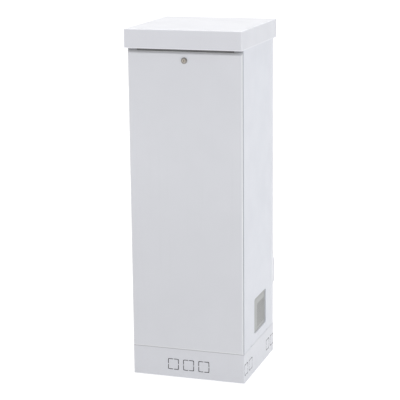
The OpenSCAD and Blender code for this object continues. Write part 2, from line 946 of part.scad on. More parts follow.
// Nuts of the vent studs
module vent_nuts() {
    x1 = vent_face_x - vent_plate_t - retainer_t;
    color("silver")
        vent_stud_spots()
            translate([x1 - m4_nut_t, 0, 0])
                rotate([0, 90, 0])
                    difference() {
                        hex_prism(m4_flats, m4_nut_t);
                        translate([0, 0, -eps])
                            cylinder(r = vent_stud_r + snug, h = m4_nut_t + 2 * eps);
                    }
}

// Places children at the rear hood's rivets
module hood_rivet_spots() {
    for (i = [-2:2])
        translate([i * hood_rivet_pitch, 0, hood_top + hood_flange / 2])
            children();
}

// Rain hood over the rear vent slots: folded sheet, open at the bottom, with welded cheeks
module rear_hood() {
    x = side_x - hood_inset;
    y1 = back_y + hood_out;
    outline = [[back_y, hood_z], [y1 - hood_rake, hood_z], [y1, hood_top - hood_slope_h],
        [back_y, hood_top]];
    color(paint_grey)
        difference() {
            union() {
                along_x(-x, x)
                    polygon(sheet([[back_y + sheet_t, hood_top + hood_flange], [back_y + sheet_t, hood_top],
                        [y1, hood_top - hood_slope_h], [y1 - hood_rake, hood_z]], sheet_t, sheet_t + 1, -1));
                for (s = [-1, 1])
                    translate([s * (x - sheet_t / 2) - sheet_t / 2, 0, 0])
                        along_x(0, sheet_t)
                            polygon(outline);
            }
            hood_rivet_spots()
                rod_y(rivet_hole_r, back_y - eps, back_y + 2 * sheet_t);
        }
}

// Rivets along the rear hood's flange
module hood_rivets() {
    color("silver")
        hood_rivet_spots() {
            rod_y(rivet_r, back_y - sheet_t - tiny, back_y + sheet_t + tiny);
            rod_y(rivet_head_r, back_y + sheet_t, back_y + sheet_t + rivet_head_t);
            rod_y(rivet_tail_r, back_y - sheet_t - rivet_head_t, back_y - sheet_t);
        }
}

// Places children at the mounting plate's four studs
module plate_corners() {
    for (sx = [-1, 1], sz = [-1, 1])
        translate([sx * plate_stud_x, 0, plate_mid_z + sz * plate_stud_z])
            children();
}

// Mounting plate for the equipment
module mounting_plate() {
    color("lightsteelblue")
        difference() {
            translate([0, 0, plate_mid_z])
                along_y(plate_y, plate_y + plate_t)
                    rounded_rect(plate_w, plate_h, plate_corner_r);
            plate_corners()
                rod_y(plate_stud_d / 2 + free, plate_y - eps, plate_y + plate_t + eps);
            for (z = [rail_upper_z, rail_lower_z], s = [-1, 1])
                translate([s * rail_screw_x, 0, z])
                    rod_y(rail_screw_r + snug, plate_y - eps, plate_y + plate_t + eps);
            for (s = [-1, 1])
                translate([s * earth_spacer_x, 0, earth_z])
                    rod_y(m5_r + snug, plate_y - eps, plate_y + plate_t + eps);
        }
}

// Studs welded into the rear panel for the mounting plate
module plate_studs() {
    color("silver")
        plate_corners()
            rod_y(plate_stud_d / 2, plate_y - plate_stud_end, back_y);
}

// Tubes that hold the mounting plate off the rear panel
module plate_spacers() {
    color("silver")
        plate_corners()
            difference() {
                rod_y(plate_stud_d / 2 + spacer_wall, plate_y + plate_t, back_y - sheet_t);
                rod_y(plate_stud_d / 2 + loose, plate_y, back_y);
            }
}

// Flange nuts in front of the mounting plate
module plate_nuts() {
    color("silver")
        plate_corners()
            translate([0, plate_y, 0])
                rotate([90, 0, 0])
                    difference() {
                        union() {
                            cylinder(r = plate_stud_d / 2 + plate_nut_flange, h = plate_nut_flange_t);
                            hex_prism(plate_nut_flats, plate_nut_t);
                        }
                        translate([0, 0, -eps])
                            cylinder(r = plate_stud_d / 2 + snug, h = plate_nut_t + 2 * eps);
                    }
}

// One 35 mm hat rail with its middle at height z
module hat_rail(z) {
    y0 = plate_y - rail_d;
    difference() {
        along_x(-rail_len / 2, rail_len / 2)
            polygon(sheet([[y0, z - rail_edge], [y0, z - rail_step], [plate_y, z - rail_step],
                [plate_y, z + rail_step], [y0, z + rail_step], [y0, z + rail_edge]],
                rail_t, rail_bend_r, 1));
        for (s = [-1, 1])
            translate([s * rail_screw_x, 0, z])
                rod_y(rail_screw_r + free, plate_y - rail_t - eps, plate_y + eps);
    }
}

// Upper hat rail
module din_rail_upper() {
    color("gainsboro")
        hat_rail(rail_upper_z);
}

// Lower hat rail
module din_rail_lower() {
    color("gainsboro")
        hat_rail(rail_lower_z);
}

// Screws of both hat rails
module rail_screws() {
    color("silver")
        for (z = [rail_upper_z, rail_lower_z], s = [-1, 1])
            translate([s * rail_screw_x, 0, z]) {
                rod_y(rail_head_r, plate_y - rail_t - rail_head_t, plate_y - rail_t);
                rod_y(rail_screw_r, plate_y - rail_t - tiny, plate_y + plate_t + rail_screw_end);
            }
}

// Places children at the cable rail's two studs
module cable_rail_spots() {
    for (s = [-1, 1])
        translate([s * c_rail_stud_x, 0, c_rail_mid_z])
            children();
}

// C-shaped rail that the cable clamps hang in
module cable_rail() {
    z0 = c_rail_mid_z - c_rail_w / 2;
    z1 = c_rail_mid_z + c_rail_w / 2;
    y1 = c_rail_y + c_rail_d;
    color("gainsboro")
        difference() {
            along_x(-c_rail_len / 2, c_rail_len / 2)
                polygon(sheet([[c_rail_y, z0 + c_rail_lip], [c_rail_y, z0], [y1, z0], [y1, z1],
                    [c_rail_y, z1], [c_rail_y, z1 - c_rail_lip]], c_rail_t, c_rail_bend_r, 1));
            cable_rail_spots()
                rod_y(m6_hole_r, y1 - c_rail_t - eps, y1 + eps);
        }
}

// Studs welded into the rear panel for the cable rail
module cable_rail_studs() {
    color("silver")
        cable_rail_spots()
            rod_y(m6_r, c_rail_y + c_rail_stud_end, back_y);
}

// Tubes that hold the cable rail off the rear panel
module cable_rail_spacers() {
    color("silver")
        cable_rail_spots()
            difference() {
                rod_y(m6_r + spacer_wall, c_rail_y + c_rail_d, back_y - sheet_t);
                rod_y(m6_r + loose, c_rail_y, back_y);
            }
}

// Nuts that hold the cable rail
module cable_rail_nuts() {
    color("silver")
        cable_rail_spots()
            translate([0, c_rail_y + c_rail_d - c_rail_t, 0])
                rotate([90, 0, 0])
                    difference() {
                        hex_prism(m6_flats, m6_nut_t);
                        translate([0, 0, -eps])
                            cylinder(r = m6_r + snug, h = m6_nut_t + 2 * eps);
                    }
}

// Two-part cable clamps: round collars with ears, held on the rail by a bolt at each side
module cable_clamps() {
    r = clamp_d / 2;
    y = c_rail_y - r - clamp_wall;
    color([0.2, 0.2, 0.22])
        for (i = [-1:1])
            translate([i * clamp_pitch, 0, c_rail_mid_z - clamp_h / 2])
                difference() {
                    union() {
                        translate([0, y, 0])
                            cylinder(r = r + clamp_wall, h = clamp_h);
                        block([-r - clamp_wall - clamp_ear, c_rail_y - clamp_foot_t, 0],
                            [r + clamp_wall + clamp_ear, c_rail_y, clamp_h]);
                    }
                    translate([0, y, -eps])
                        cylinder(r = r, h = clamp_h + 2 * eps);
                    for (s = [-1, 1])
                        translate([s * clamp_bolt_x, 0, clamp_h / 2])
                            rod_y(clamp_bolt_r + free, c_rail_y - clamp_foot_t - eps, c_rail_y + eps);
                }
}

// Hammer-head bolts of the cable clamps, with their nuts' flanges as one turned head
module clamp_bolts() {
    y1 = c_rail_y + c_rail_t;
    color("silver")
        for (i = [-1:1], s = [-1, 1])
            translate([i * clamp_pitch + s * clamp_bolt_x, 0, c_rail_mid_z]) {
                rod_y(clamp_bolt_r, c_rail_y - clamp_foot_t - tiny, y1 + tiny);
                rod_y(clamp_head_r, c_rail_y - clamp_foot_t - clamp_head_t, c_rail_y - clamp_foot_t);
                block([-hammer_w / 2, y1, -hammer_h / 2], [hammer_w / 2, y1 + hammer_t, hammer_h / 2]);
            }
}

// Earth bar with tapped holes
module earth_bar() {
    y1 = plate_y - earth_standoff;
    color("peru")
        difference() {
            block([-earth_len / 2, y1 - earth_t, earth_z - earth_w / 2],
                [earth_len / 2, y1, earth_z + earth_w / 2]);
            for (s = [-1, 1])
                translate([s * earth_spacer_x, 0, earth_z])
                    rod_y(m5_r + free, y1 - earth_t - eps, y1 + eps);
            earth_screw_spots()
                rod_y(m5_r, y1 - earth_t - eps, y1 + eps);
        }
}

// Places children at the earth bar's terminal screws
module earth_screw_spots() {
    for (i = [0:earth_screw_count - 1])
        translate([(i - (earth_screw_count - 1) / 2) * earth_screw_pitch, 0, earth_z])
            children();
}

// Spacers and their screws that carry the earth bar
module earth_spacers() {
    y1 = plate_y - earth_standoff;
    color("darkorange")
        for (s = [-1, 1])
            translate([s * earth_spacer_x, 0, earth_z]) {
                rod_y(earth_spacer_r, y1, plate_y);
                rod_y(m5_r, y1 - earth_t - tiny, plate_y + plate_t + earth_screw_end);
                rod_y(m5_head_r, y1 - earth_t - earth_head_t, y1 - earth_t);
            }
}

// Terminal screws of the earth bar
module earth_screws() {
    y1 = plate_y - earth_standoff;
    color("gold")
        earth_screw_spots() {
            rod_y(m5_r - snug, y1 - earth_t - earth_head_t - tiny, y1 + earth_tip);
            rod_y(m5_head_r, y1 - earth_t - 2 * earth_head_t, y1 - earth_t - earth_head_t);
        }
}

// Outline of the cover seen from the side, shrunk inwards by s
module cover_side_outline(s) {
    r = cover_bend_r - s;
    slope = (cover_proud - cover_gap) / cover_slope;
    nudge = s * (norm([1, slope]) - 1) / slope;
    polygon(rounded_outline([[cover_rim_y + (s > 0 ? eps : 0), cover_z + s],
        [cover_y + s, cover_z + s], [cover_y + s, cover_face_top - nudge],
        [cover_rim_y + (s > 0 ? eps : 0), cover_top - s * norm([1, slope]) + (s > 0 ? eps / slope : 0)]],
        [0, r, cover_brow_r - s, 0]));
}

// Outline of the cover seen from above, shrunk inwards by s
module cover_plan_outline(s) {
    r = cover_bend_r - s;
    y1 = cover_rim_y + (s > 0 ? eps : 0);
    polygon(rounded_outline([[-cover_x + s, cover_y + s], [cover_x - s, cover_y + s], [cover_x - s, y1],
        [-cover_x + s, y1]], [r, r, 0, 0]));
}

// Solid block with the cover's outer shape, shrunk inwards by s
module cover_mass(s) {
    intersection() {
        along_x(-cover_x + s, cover_x - s)
            cover_side_outline(s);
        translate([0, 0, cover_z])
            linear_extrude(total_h)
                cover_plan_outline(s);
    }
}

// Front cover: one folded tray with a top edge that slopes back
module front_cover() {
    color(paint_grey)
        difference() {
            cover_mass(0);
            cover_mass(sheet_t);
            translate([0, 0, lock_z])
                rod_y(lock_body_d / 2 + snug, cover_y - eps, cover_in_y + eps);
        }
}

// Hat-shaped stiffener welded to the cover's inner face
module cover_stiffener() {
    z0 = seal_z + seal_w + stiffener_end;
    z1 = lock_z - 2 * stiffener_end;
    y0 = cover_in_y;
    y1 = y0 + stiffener_d;
    color("lightgrey")
        translate([0, 0, z0])
            linear_extrude(z1 - z0)
                polygon(sheet([[-stiffener_foot_x, y0], [-stiffener_x, y0], [-stiffener_x, y1],
                    [stiffener_x, y1], [stiffener_x, y0], [stiffener_foot_x, y0]], sheet_t, sheet_t + 1, 1));
}

// Hooks on the cover's lower edge that hang over the pins
module cover_hooks() {
    gap_r = pin_r + hook_play;
    color("silver")
        at_hooks()
            along_x(-hook_t / 2, hook_t / 2)
                difference() {
                    union() {
                        translate([pin_y, pin_z])
                            circle(r = hook_r);
                        translate([cover_in_y, cover_z + cover_bend_r])
                            square([pin_y - cover_in_y, hook_top - cover_z - cover_bend_r]);
                    }
                    translate([pin_y, pin_z])
                        circle(r = gap_r);
                    translate([pin_y - gap_r, cover_z])
                        square([2 * gap_r, pin_z - cover_z]);
                }
}

// Lock housing with its round head
module lock_body() {
    head_y = cover_y - lock_head_t;
    color([0.55, 0.5, 0.42])
        translate([0, 0, lock_z])
            difference() {
                union() {
                    rod_y(lock_head_d / 2, head_y, cover_y);
                    rod_y(lock_body_d / 2, cover_y - tiny, lock_body_end);
                }
                rod_y(lock_plug_d / 2 + plug_play, head_y - eps, lock_body_end + eps);
            }
}

// Hexagon nut that clamps the lock to the cover
module lock_nut() {
    color("silver")
        translate([0, cover_in_y + lock_nut_t, lock_z])
            rotate([90, 0, 0])
                difference() {
                    hex_prism(2 * lock_nut_r * cos(30), lock_nut_t);
                    translate([0, 0, -eps])
                        cylinder(r = lock_body_d / 2 + snug, h = lock_nut_t + 2 * eps);
                }
}

// Turning plug with its key slot and the tail that carries the cam
module lock_plug() {
    face_y = cover_y - lock_head_t - plug_proud;
    color([0.6, 0.55, 0.45])
        translate([0, 0, lock_z])
            difference() {
                union() {
                    rod_y(lock_plug_d / 2, face_y, lock_body_end + plug_end);
                    rod_y(plug_tail_r, lock_body_end, cam_y + cam_t);
                }
                block([-key_w / 2, face_y - eps, -key_h / 2], [key_w / 2, face_y + key_d, key_h / 2]);
            }
}

// Cam that turns up behind the front frame; it points sideways when unlocked
module lock_cam() {
    color("silver")
        translate([0, 0, lock_z])
            difference() {
                along_y(cam_y, cam_y + cam_t) {
                    circle(r = cam_w / 2);
                    translate([0, -cam_w / 2])
                        square([cam_len - cam_tip_r, cam_w]);
                    translate([0, -cam_w / 2 + cam_tip_r])
                        square([cam_len, cam_w - 2 * cam_tip_r]);
                    for (s = [-1, 1])
                        translate([cam_len - cam_tip_r, s * (cam_w / 2 - cam_tip_r)])
                            circle(r = cam_tip_r);
                }
                rod_y(plug_tail_r + snug, cam_y - eps, cam_y + cam_t + eps);
            }
}

// Screw and washer that hold the cam on the plug
module cam_screw() {
    y = cam_y + cam_t;
    color("silver")
        translate([0, 0, lock_z]) {
            rod_y(cam_washer_r, y, y + cam_washer_t);
            translate([0, y + cam_washer_t + cam_nut_t, 0])
                rotate([90, 0, 0])
                    hex_prism(cam_nut_flats, cam_nut_t + tiny);
        }
}

plinth();
base_tray();
base_bolts();
base_washers();
base_nuts();
gland_plate();
gland_screws();
cable_grommets();
side_panel_left();
side_panel_right();
rear_panel();
top_tray();
lid();
lid_channels();
lid_gaskets();
lid_bolts();
lid_nuts();
cover_seal();
hook_brackets();
hook_pins();
hook_rivets();
vent_plate();
vent_filter();
vent_retainer();
vent_studs();
vent_nuts();
rear_hood();
hood_rivets();
mounting_plate();
plate_studs();
plate_spacers();
plate_nuts();
din_rail_upper();
din_rail_lower();
rail_screws();
cable_rail();
cable_rail_spacers();
cable_rail_studs();
cable_rail_nuts();
cable_clamps();
clamp_bolts();
earth_bar();
earth_spacers();
earth_screws();
front_cover();
cover_stiffener();
cover_hooks();
lock_body();
lock_nut();
lock_plug();
lock_cam();
cam_screw();
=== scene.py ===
"""Finishes, soft parts, lock detail and studio of the roadside utility cabinet.

The cabinet's folded sheets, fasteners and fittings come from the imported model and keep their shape.
This file gives them their coats and metals, rounds their sharp edges, and makes the foam seal, the
filter mat, the turned lock housing, the corner welds and the sealant bead as pieces of their own.
"""

from __future__ import annotations

import sys

import logging
import math
from dataclasses import dataclass, field
from enum import Enum
from typing import Iterable, Sequence

import bmesh
import bpy
from mathutils import Matrix, Vector, noise


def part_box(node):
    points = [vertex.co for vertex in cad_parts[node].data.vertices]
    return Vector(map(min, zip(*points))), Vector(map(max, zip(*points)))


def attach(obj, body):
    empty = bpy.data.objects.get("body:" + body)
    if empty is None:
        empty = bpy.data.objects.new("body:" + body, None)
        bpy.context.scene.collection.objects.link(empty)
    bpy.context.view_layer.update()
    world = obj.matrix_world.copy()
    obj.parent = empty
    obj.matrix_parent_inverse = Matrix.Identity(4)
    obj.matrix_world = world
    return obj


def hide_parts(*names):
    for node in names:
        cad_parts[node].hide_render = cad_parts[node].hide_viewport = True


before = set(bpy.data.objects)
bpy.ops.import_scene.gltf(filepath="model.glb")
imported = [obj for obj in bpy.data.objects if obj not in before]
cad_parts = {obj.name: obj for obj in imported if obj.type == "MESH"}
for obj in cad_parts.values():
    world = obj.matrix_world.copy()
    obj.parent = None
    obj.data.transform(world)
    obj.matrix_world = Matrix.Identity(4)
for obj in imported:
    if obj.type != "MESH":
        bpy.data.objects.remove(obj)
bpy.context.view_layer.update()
LOG = logging.getLogger("cabinet")

Colour = tuple[float, float, float]
Place = tuple[float, float, float]
Socket = bpy.types.NodeSocket

MM = 0.001
CABINET = "cabinet"
COVER = "cover"

ZERO = (0.0, 0.0, 0.0)
BLACK = (0.0, 0.0, 0.0)
# Painted shade inside the lock's key slot.
SLOT_SHADE = (0.01, 0.01, 0.01)
# Painted shade at seams, gaps and under lips.
JOINT_SHADE = (0.05, 0.048, 0.045)
MUD = (0.36, 0.33, 0.29)
BARE_STEEL = (0.34, 0.35, 0.37)
FLECK = (0.50, 0.50, 0.50)
BARE_EARTH = (0.035, 0.033, 0.030)
ZINC_BLOOM = (0.66, 0.67, 0.66)
ZINC_FROST = (0.42, 0.43, 0.45)


class Axis(Enum):
    """The cabinet's axes, as the way a grain runs or the end of a part that dirt gathers at."""

    X = (1.0, 0.0, 0.0)
    Y = (0.0, 1.0, 0.0)
    Z = (0.0, 0.0, 1.0)


class Edge(Enum):
    """How far a sharp sheet or machined edge is rounded, in metres."""

    NONE = 0.0
    FINE = 0.12 * MM
    DEBURRED = 0.25 * MM
    FOLDED = 0.55 * MM


def scaled(colour: Colour, gain: float) -> Colour:
    """A colour times gain, no channel over 1."""
    return tuple(min(1.0, gain * c) for c in colour)


class ShaderSketch:
    """One material's node tree, with short calls that add and link its nodes."""

    def __init__(self, name: str) -> None:
        """Starts an empty tree.

        Args:
            name: the material's name.
        """
        self.material = bpy.data.materials.new(name)
        self.material.use_nodes = True
        self.tree = self.material.node_tree
        self.tree.nodes.clear()
        self.place = self.node("ShaderNodeTexCoord").outputs["Object"]

    def node(self, kind: str, **settings: object) -> bpy.types.Node:
        """Adds a node.

        Args:
            kind: the node's type name.
            **settings: attributes set on the node.

        Returns:
            The new node.
        """
        made = self.tree.nodes.new(kind)
        for key, value in settings.items():
            setattr(made, key, value)
        return made

    def feed(self, target: Socket, value: Socket | float | Sequence[float]) -> None:
        """Links a socket to target, or sets a constant on it.

        Args:
            target: the input socket.
            value: an output socket, a number, a vector or a colour.
        """
        if isinstance(value, bpy.types.NodeSocket):
            self.tree.links.new(value, target)
        else:
            target.default_value = value

    def math(self, operation: str, a: Socket | float, b: Socket | float = 0.0, clamp: bool = False) -> Socket:
        """Adds one arithmetic step.

        Args:
            operation: the Math node's operation.
            a: first value.
            b: second value.
            clamp: keeps the result between 0 and 1.

        Returns:
            The result's socket.
        """
        made = self.node("ShaderNodeMath", operation=operation, use_clamp=clamp)
        self.feed(made.inputs[0], a)
        self.feed(made.inputs[1], b)
        return made.outputs[0]

    def vector(self, operation: str, a: Socket | Sequence[float], b: Socket | Sequence[float]) -> Socket:
        """Adds one vector step and returns its vector socket."""
        made = self.node("ShaderNodeVectorMath", operation=operation)
        self.feed(made.inputs[0], a)
        self.feed(made.inputs[1], b)
        return made.outputs[0]

    def split(self, value: Socket) -> tuple[Socket, Socket, Socket]:
        """Returns a vector's three components."""
        made = self.node("ShaderNodeSeparateXYZ")
        self.feed(made.inputs[0], value)
        return made.outputs[0], made.outputs[1], made.outputs[2]

    def spread(self, value: Socket, low: float, high: float, start: float = 0.0, end: float = 1.0) -> Socket:
        """Maps low..high smoothly to start..end, held at both ends.

        Args:
            value: the socket to map.
            low: value that gives start.
            high: value that gives end.
            start: result at low.
            end: result at high.

        Returns:
            The mapped socket.
        """
        made = self.node("ShaderNodeMapRange", interpolation_type="SMOOTHSTEP")
        for index, item in enumerate((value, low, high, start, end)):
            self.feed(made.inputs[index], item)
        return made.outputs[0]

    def grain(self, per_metre: float, detail: float = 3.0, rough: float = 0.55,
              stretch: Sequence[float] = (1.0, 1.0, 1.0)) -> Socket:
        """Adds a noise texture.

        Args:
            per_metre: features in a metre.
            detail: octaves.
            rough: weight of the finer octaves.
            stretch: scale along each axis, below 1 to draw the grain out.

        Returns:
            The noise value, around 0.5.
        """
        made = self.node("ShaderNodeTexNoise")
        self.feed(made.inputs["Vector"], self.vector("MULTIPLY", self.place, tuple(stretch)))
        self.feed(made.inputs["Scale"], per_metre)
        self.feed(made.inputs["Detail"], detail)
        self.feed(made.inputs["Roughness"], rough)
        return made.outputs[0]

    def cells(self, per_metre: float) -> bpy.types.Node:
        """Adds a Voronoi texture and returns its node."""
        made = self.node("ShaderNodeTexVoronoi")
        self.feed(made.inputs["Vector"], self.place)
        self.feed(made.inputs["Scale"], per_metre)
        return made

    def blend(self, share: Socket | float, a: Socket | Colour, b: Socket | Colour) -> Socket:
        """Mixes two colours.

        Args:
            share: 0 gives a, 1 gives b.
            a: first colour.
            b: second colour.

        Returns:
            The mixed colour's socket.
        """
        made = self.node("ShaderNodeMix", data_type="RGBA")
        self.feed(made.inputs[0], share)
        for index, item in ((6, a), (7, b)):
            self.feed(made.inputs[index], item if isinstance(item, bpy.types.NodeSocket) else (*item, 1.0))
        return made.outputs[2]

    def relief(self, layers: Iterable[tuple[Socket, float]]) -> Socket:
        """Stacks bump layers.

        Args:
            layers: (height socket, height in metres) pairs.

        Returns:
            The normal of the last layer.
        """
        normal: Socket | None = None
        for height, depth in layers:
            made = self.node("ShaderNodeBump")
            self.feed(made.inputs["Strength"], 1.0)
            self.feed(made.inputs["Distance"], depth)
            self.feed(made.inputs["Height"], height)
            if normal is not None:
                self.feed(made.inputs["Normal"], normal)
            normal = made.outputs[0]
        return normal

    def surface(self, colour: Socket, roughness: Socket, normal: Socket,
                **others: Socket | float | Sequence[float]) -> bpy.types.Material:
        """Closes the tree with a principled shader.

        Args:
            colour: base colour socket.
            roughness: roughness socket.
            normal: normal socket.
            **others: other inputs by name, with underscores for spaces; most are constants.

        Returns:
            The finished material.
        """
        shader = self.node("ShaderNodeBsdfPrincipled")
        self.feed(shader.inputs["Base Color"], colour)
        self.feed(shader.inputs["Roughness"], roughness)
        self.feed(shader.inputs["Normal"], normal)
        for key, value in others.items():
            self.feed(shader.inputs[key.replace("_", " ")], value)
        out = self.node("ShaderNodeOutputMaterial")
        self.feed(out.inputs["Surface"], shader.outputs[0])
        return self.material


@dataclass(frozen=True)
class BoxSense:
    """Where a shaded point lies in the box of its part."""

    sketch: ShaderSketch
    low: Vector
    high: Vector

    def from_faces(self) -> Socket:
        """Distance in metres to the nearer face of the box, along each axis."""
        s = self.sketch
        return s.vector("MINIMUM", *(s.vector("ABSOLUTE", s.vector("SUBTRACT", s.place, tuple(corner)), ZERO)
                                     for corner in (self.low, self.high)))

    def from_end(self, axis: Axis, at_high: bool) -> Socket:
        """Distance in metres to one end of the box."""
        s = self.sketch
        index = list(Axis).index(axis)
        end = (self.high if at_high else self.low)[index]
        return s.math("ABSOLUTE", s.math("SUBTRACT", s.split(s.place)[index], end))

    def from_edges(self) -> Socket:
        """Distance in metres to the nearest edge of the box."""
        s = self.sketch
        a, b, c = s.split(self.from_faces())
        return s.math("MAXIMUM", s.math("MINIMUM", a, b), s.math("MINIMUM", s.math("MAXIMUM", a, b), c))

    def depth(self, bend: float) -> Socket:
        """Depth behind the box's faces, with its edges rounded.

        Args:
            bend: radius of the rounded edges, and the greatest depth that is told apart.

        Returns:
            The depth in metres.
        """
        s = self.sketch
        inside = s.vector("SUBTRACT", 3 * (bend,), self.from_faces())
        reach = s.node("ShaderNodeVectorMath", operation="LENGTH")
        s.feed(reach.inputs[0], s.vector("MAXIMUM", inside, ZERO))
        return s.math("SUBTRACT", bend, reach.outputs["Value"])


@dataclass(frozen=True)
class JointShade:
    """Painted shade along one end of a part, at seams, gaps and under lips, most of it on faces that look to
    the front or back.
    """

    axis: Axis
    at_high: bool
    reach: float
    share: float
    aside: float = 0.25

    def mask(self, sense: BoxSense) -> Socket:
        """Share of painted shade at a point, 0 away from the end."""
        s = sense.sketch
        away = sense.from_end(self.axis, self.at_high)
        near = s.spread(away, 0.3 * self.reach, self.reach, self.share, 0.0)
        normal = s.split(s.node("ShaderNodeNewGeometry").outputs["Normal"])[1]
        return s.math("MULTIPLY", near, s.spread(s.math("ABSOLUTE", normal), 0.4, 0.9, self.aside, 1.0))


@dataclass(frozen=True)
class PowderCoat:
    """Semi-gloss powder coat with orange peel, faint sheet waves, dust, splash dirt, darkening towards the
    bottom and worn edges with a painted highlight.

    With a primer_and_shade_share, what lies more than coat_depth behind the faces of the part's box shows
    primer_and_shade: primer on some parts, painted shade in recesses on others.
    """

    colour: Colour
    roughness: float = 0.42
    peel: float = 0.010 * MM
    wave: float = 0.35 * MM
    dust: float = 0.35
    splash: float = 0.10
    splash_top: float = 0.17
    # Darker towards the bottom: low_darkening at the floor, fading out at low_darkening_top.
    low_darkening: float = 0.055
    low_darkening_top: float = 1.10
    # Painted highlight: edges lighter by edge_highlight_gain within highlight_and_wear_width; that band is
    # also smoother with wear.
    highlight_and_wear_width: float = 3.0 * MM
    edge_highlight_gain: float = 1.12
    coat_depth: float = 0.6 * MM
    bend: float = 4.5 * MM
    # Primer on some parts; near-black painted shade on the plinth.
    primer_and_shade: Colour = (0.115, 0.116, 0.118)
    primer_and_shade_share: float = 0.0
    joints: tuple[JointShade, ...] = ()

    def material(self, name: str, low: Vector, high: Vector) -> bpy.types.Material:
        """Makes the coat for one part.

        Args:
            name: the material's name.
            low: the part's lowest corner, for its painted edge highlights and worn edges.
            high: the part's highest corner.

        Returns:
            The finished material.
        """
        s = ShaderSketch(name)
        sense = BoxSense(s, low, high)
        broad = s.grain(2.6, 2.0)
        cloud = s.grain(14.0, 4.0)
        streak = s.grain(60.0, 3.0, 0.6, (1.0, 1.0, 0.035))
        speckle = s.grain(420.0, 2.0, 0.7)
        tint = s.blend(s.spread(broad, 0.3, 0.7), scaled(self.colour, 0.975), self.colour)
        tint = s.blend(s.spread(cloud, 0.35, 0.75, 0.0, 0.35), tint, scaled(self.colour, 0.955))
        tint = s.blend(s.spread(streak, 0.56, 0.82, 0.0, 0.22), tint, scaled(self.colour, 0.90))
        faces = s.split(s.node("ShaderNodeNewGeometry").outputs["Normal"])[2]
        lying = s.math("MULTIPLY", s.spread(faces, 0.6, 0.95), s.spread(cloud, 0.3, 0.7, 0.3, 1.0))
        dusty = s.math("MULTIPLY", lying, self.dust)
        tint = s.blend(dusty, tint, tuple(c * f for c, f in zip(self.colour, (0.965, 0.955, 0.93))))
        height = s.split(s.place)[2]
        # Darker towards the bottom.
        low_darkened = s.spread(height, 0.0, self.low_darkening_top, self.low_darkening, 0.0)
        tint = s.blend(low_darkened, tint, BLACK)
        foot = s.spread(height, 0.0, self.splash_top, 1.0, 0.0)
        spatter = s.math("MULTIPLY", foot, s.spread(s.grain(70.0, 5.0, 0.65), 0.46, 0.68))
        soiled = s.math("MULTIPLY", spatter, self.splash)
        tint = s.blend(s.math("MULTIPLY", soiled, 0.28), tint, MUD)
        edge = sense.from_edges()
        # Painted highlight along the box edges; the same band is smoother with wear.
        rim = s.spread(edge, 0.0, self.highlight_and_wear_width, 1.0, 0.0)
        highlight_and_wear = s.math("MULTIPLY", rim, s.spread(cloud, 0.45, 0.7, 0.6, 1.0))
        edge_highlight_tone = scaled(self.colour, self.edge_highlight_gain)
        tint = s.blend(s.math("MULTIPLY", highlight_and_wear, 0.8), tint, edge_highlight_tone)
        chip = s.math("MULTIPLY", s.spread(edge, 0.4 * MM, 1.6 * MM, 1.0, 0.0),
                      s.spread(s.grain(230.0, 4.0, 0.7), 0.705, 0.735))
        tint = s.blend(s.math("MULTIPLY", chip, 0.75), tint, BARE_STEEL)
        tint = s.blend(s.spread(speckle, 0.70, 0.80, 0.0, 0.10), tint, FLECK)
        # Painted shade along seams, gaps and lips.
        for joint in self.joints:
            tint = s.blend(joint.mask(sense), tint, JOINT_SHADE)
        # Behind the coat: primer colour, which on the plinth is near-black painted shade in the slots and on
        # inner faces.
        if self.primer_and_shade_share > 0.0:
            depth = sense.depth(self.bend)
            primer_and_shade_mix = s.spread(depth, 0.5 * self.coat_depth, self.coat_depth, 0.0, self.primer_and_shade_share)
            tint = s.blend(primer_and_shade_mix, tint, s.blend(cloud, scaled(self.primer_and_shade, 0.8), self.primer_and_shade))
        rough = s.spread(cloud, 0.25, 0.8, self.roughness - 0.05, self.roughness + 0.07)
        rough = s.math("ADD", rough, s.math("MULTIPLY", dusty, 0.35))
        rough = s.math("ADD", rough, s.math("MULTIPLY", soiled, 0.25))
        rough = s.math("SUBTRACT", rough, s.math("MULTIPLY", highlight_and_wear, 0.08), clamp=True)
        normal = s.relief([
            (s.grain(4.5, 1.0, 0.4), self.wave),
            (s.grain(650.0, 2.0, 0.5), self.peel),
            (s.math("SUBTRACT", 1.0, chip), 0.05 * MM),
        ])
        return s.surface(tint, rough, normal, Metallic=0.0, IOR=1.5, Specular_IOR_Level=0.42)


@dataclass(frozen=True)
class PlatedSteel:
    """Zinc-plated or drawn steel: fine lines along one axis, cloudy tarnish and dull spots."""

    colour: Colour
    roughness: float = 0.36
    grain_axis: Axis = Axis.X
    tarnish: Colour = (0.47, 0.46, 0.43)

    def material(self, name: str) -> bpy.types.Material:
        """Makes the plated metal under that name."""
        s = ShaderSketch(name)
        drawn = tuple(0.04 if part else 1.0 for part in self.grain_axis.value)
        lines = s.grain(1500.0, 3.0, 0.6, drawn)
        cloud = s.grain(85.0, 4.0, 0.6)
        spots = s.cells(900.0).outputs["Distance"]
        tint = s.blend(s.spread(cloud, 0.35, 0.75, 0.0, 0.55), self.colour, self.tarnish)
        bright = scaled(self.colour, 1.15)
        tint = s.blend(s.spread(lines, 0.4, 0.7, 0.0, 0.25), tint, bright)
        tint = s.blend(s.spread(spots, 0.0, 0.22, 0.18, 0.0), tint, (0.30, 0.29, 0.28))
        rough = s.spread(cloud, 0.3, 0.8, self.roughness - 0.06, self.roughness + 0.14)
        normal = s.relief([(cloud, 0.02 * MM), (lines, 0.006 * MM)])
        return s.surface(tint, rough, normal, Metallic=1.0)


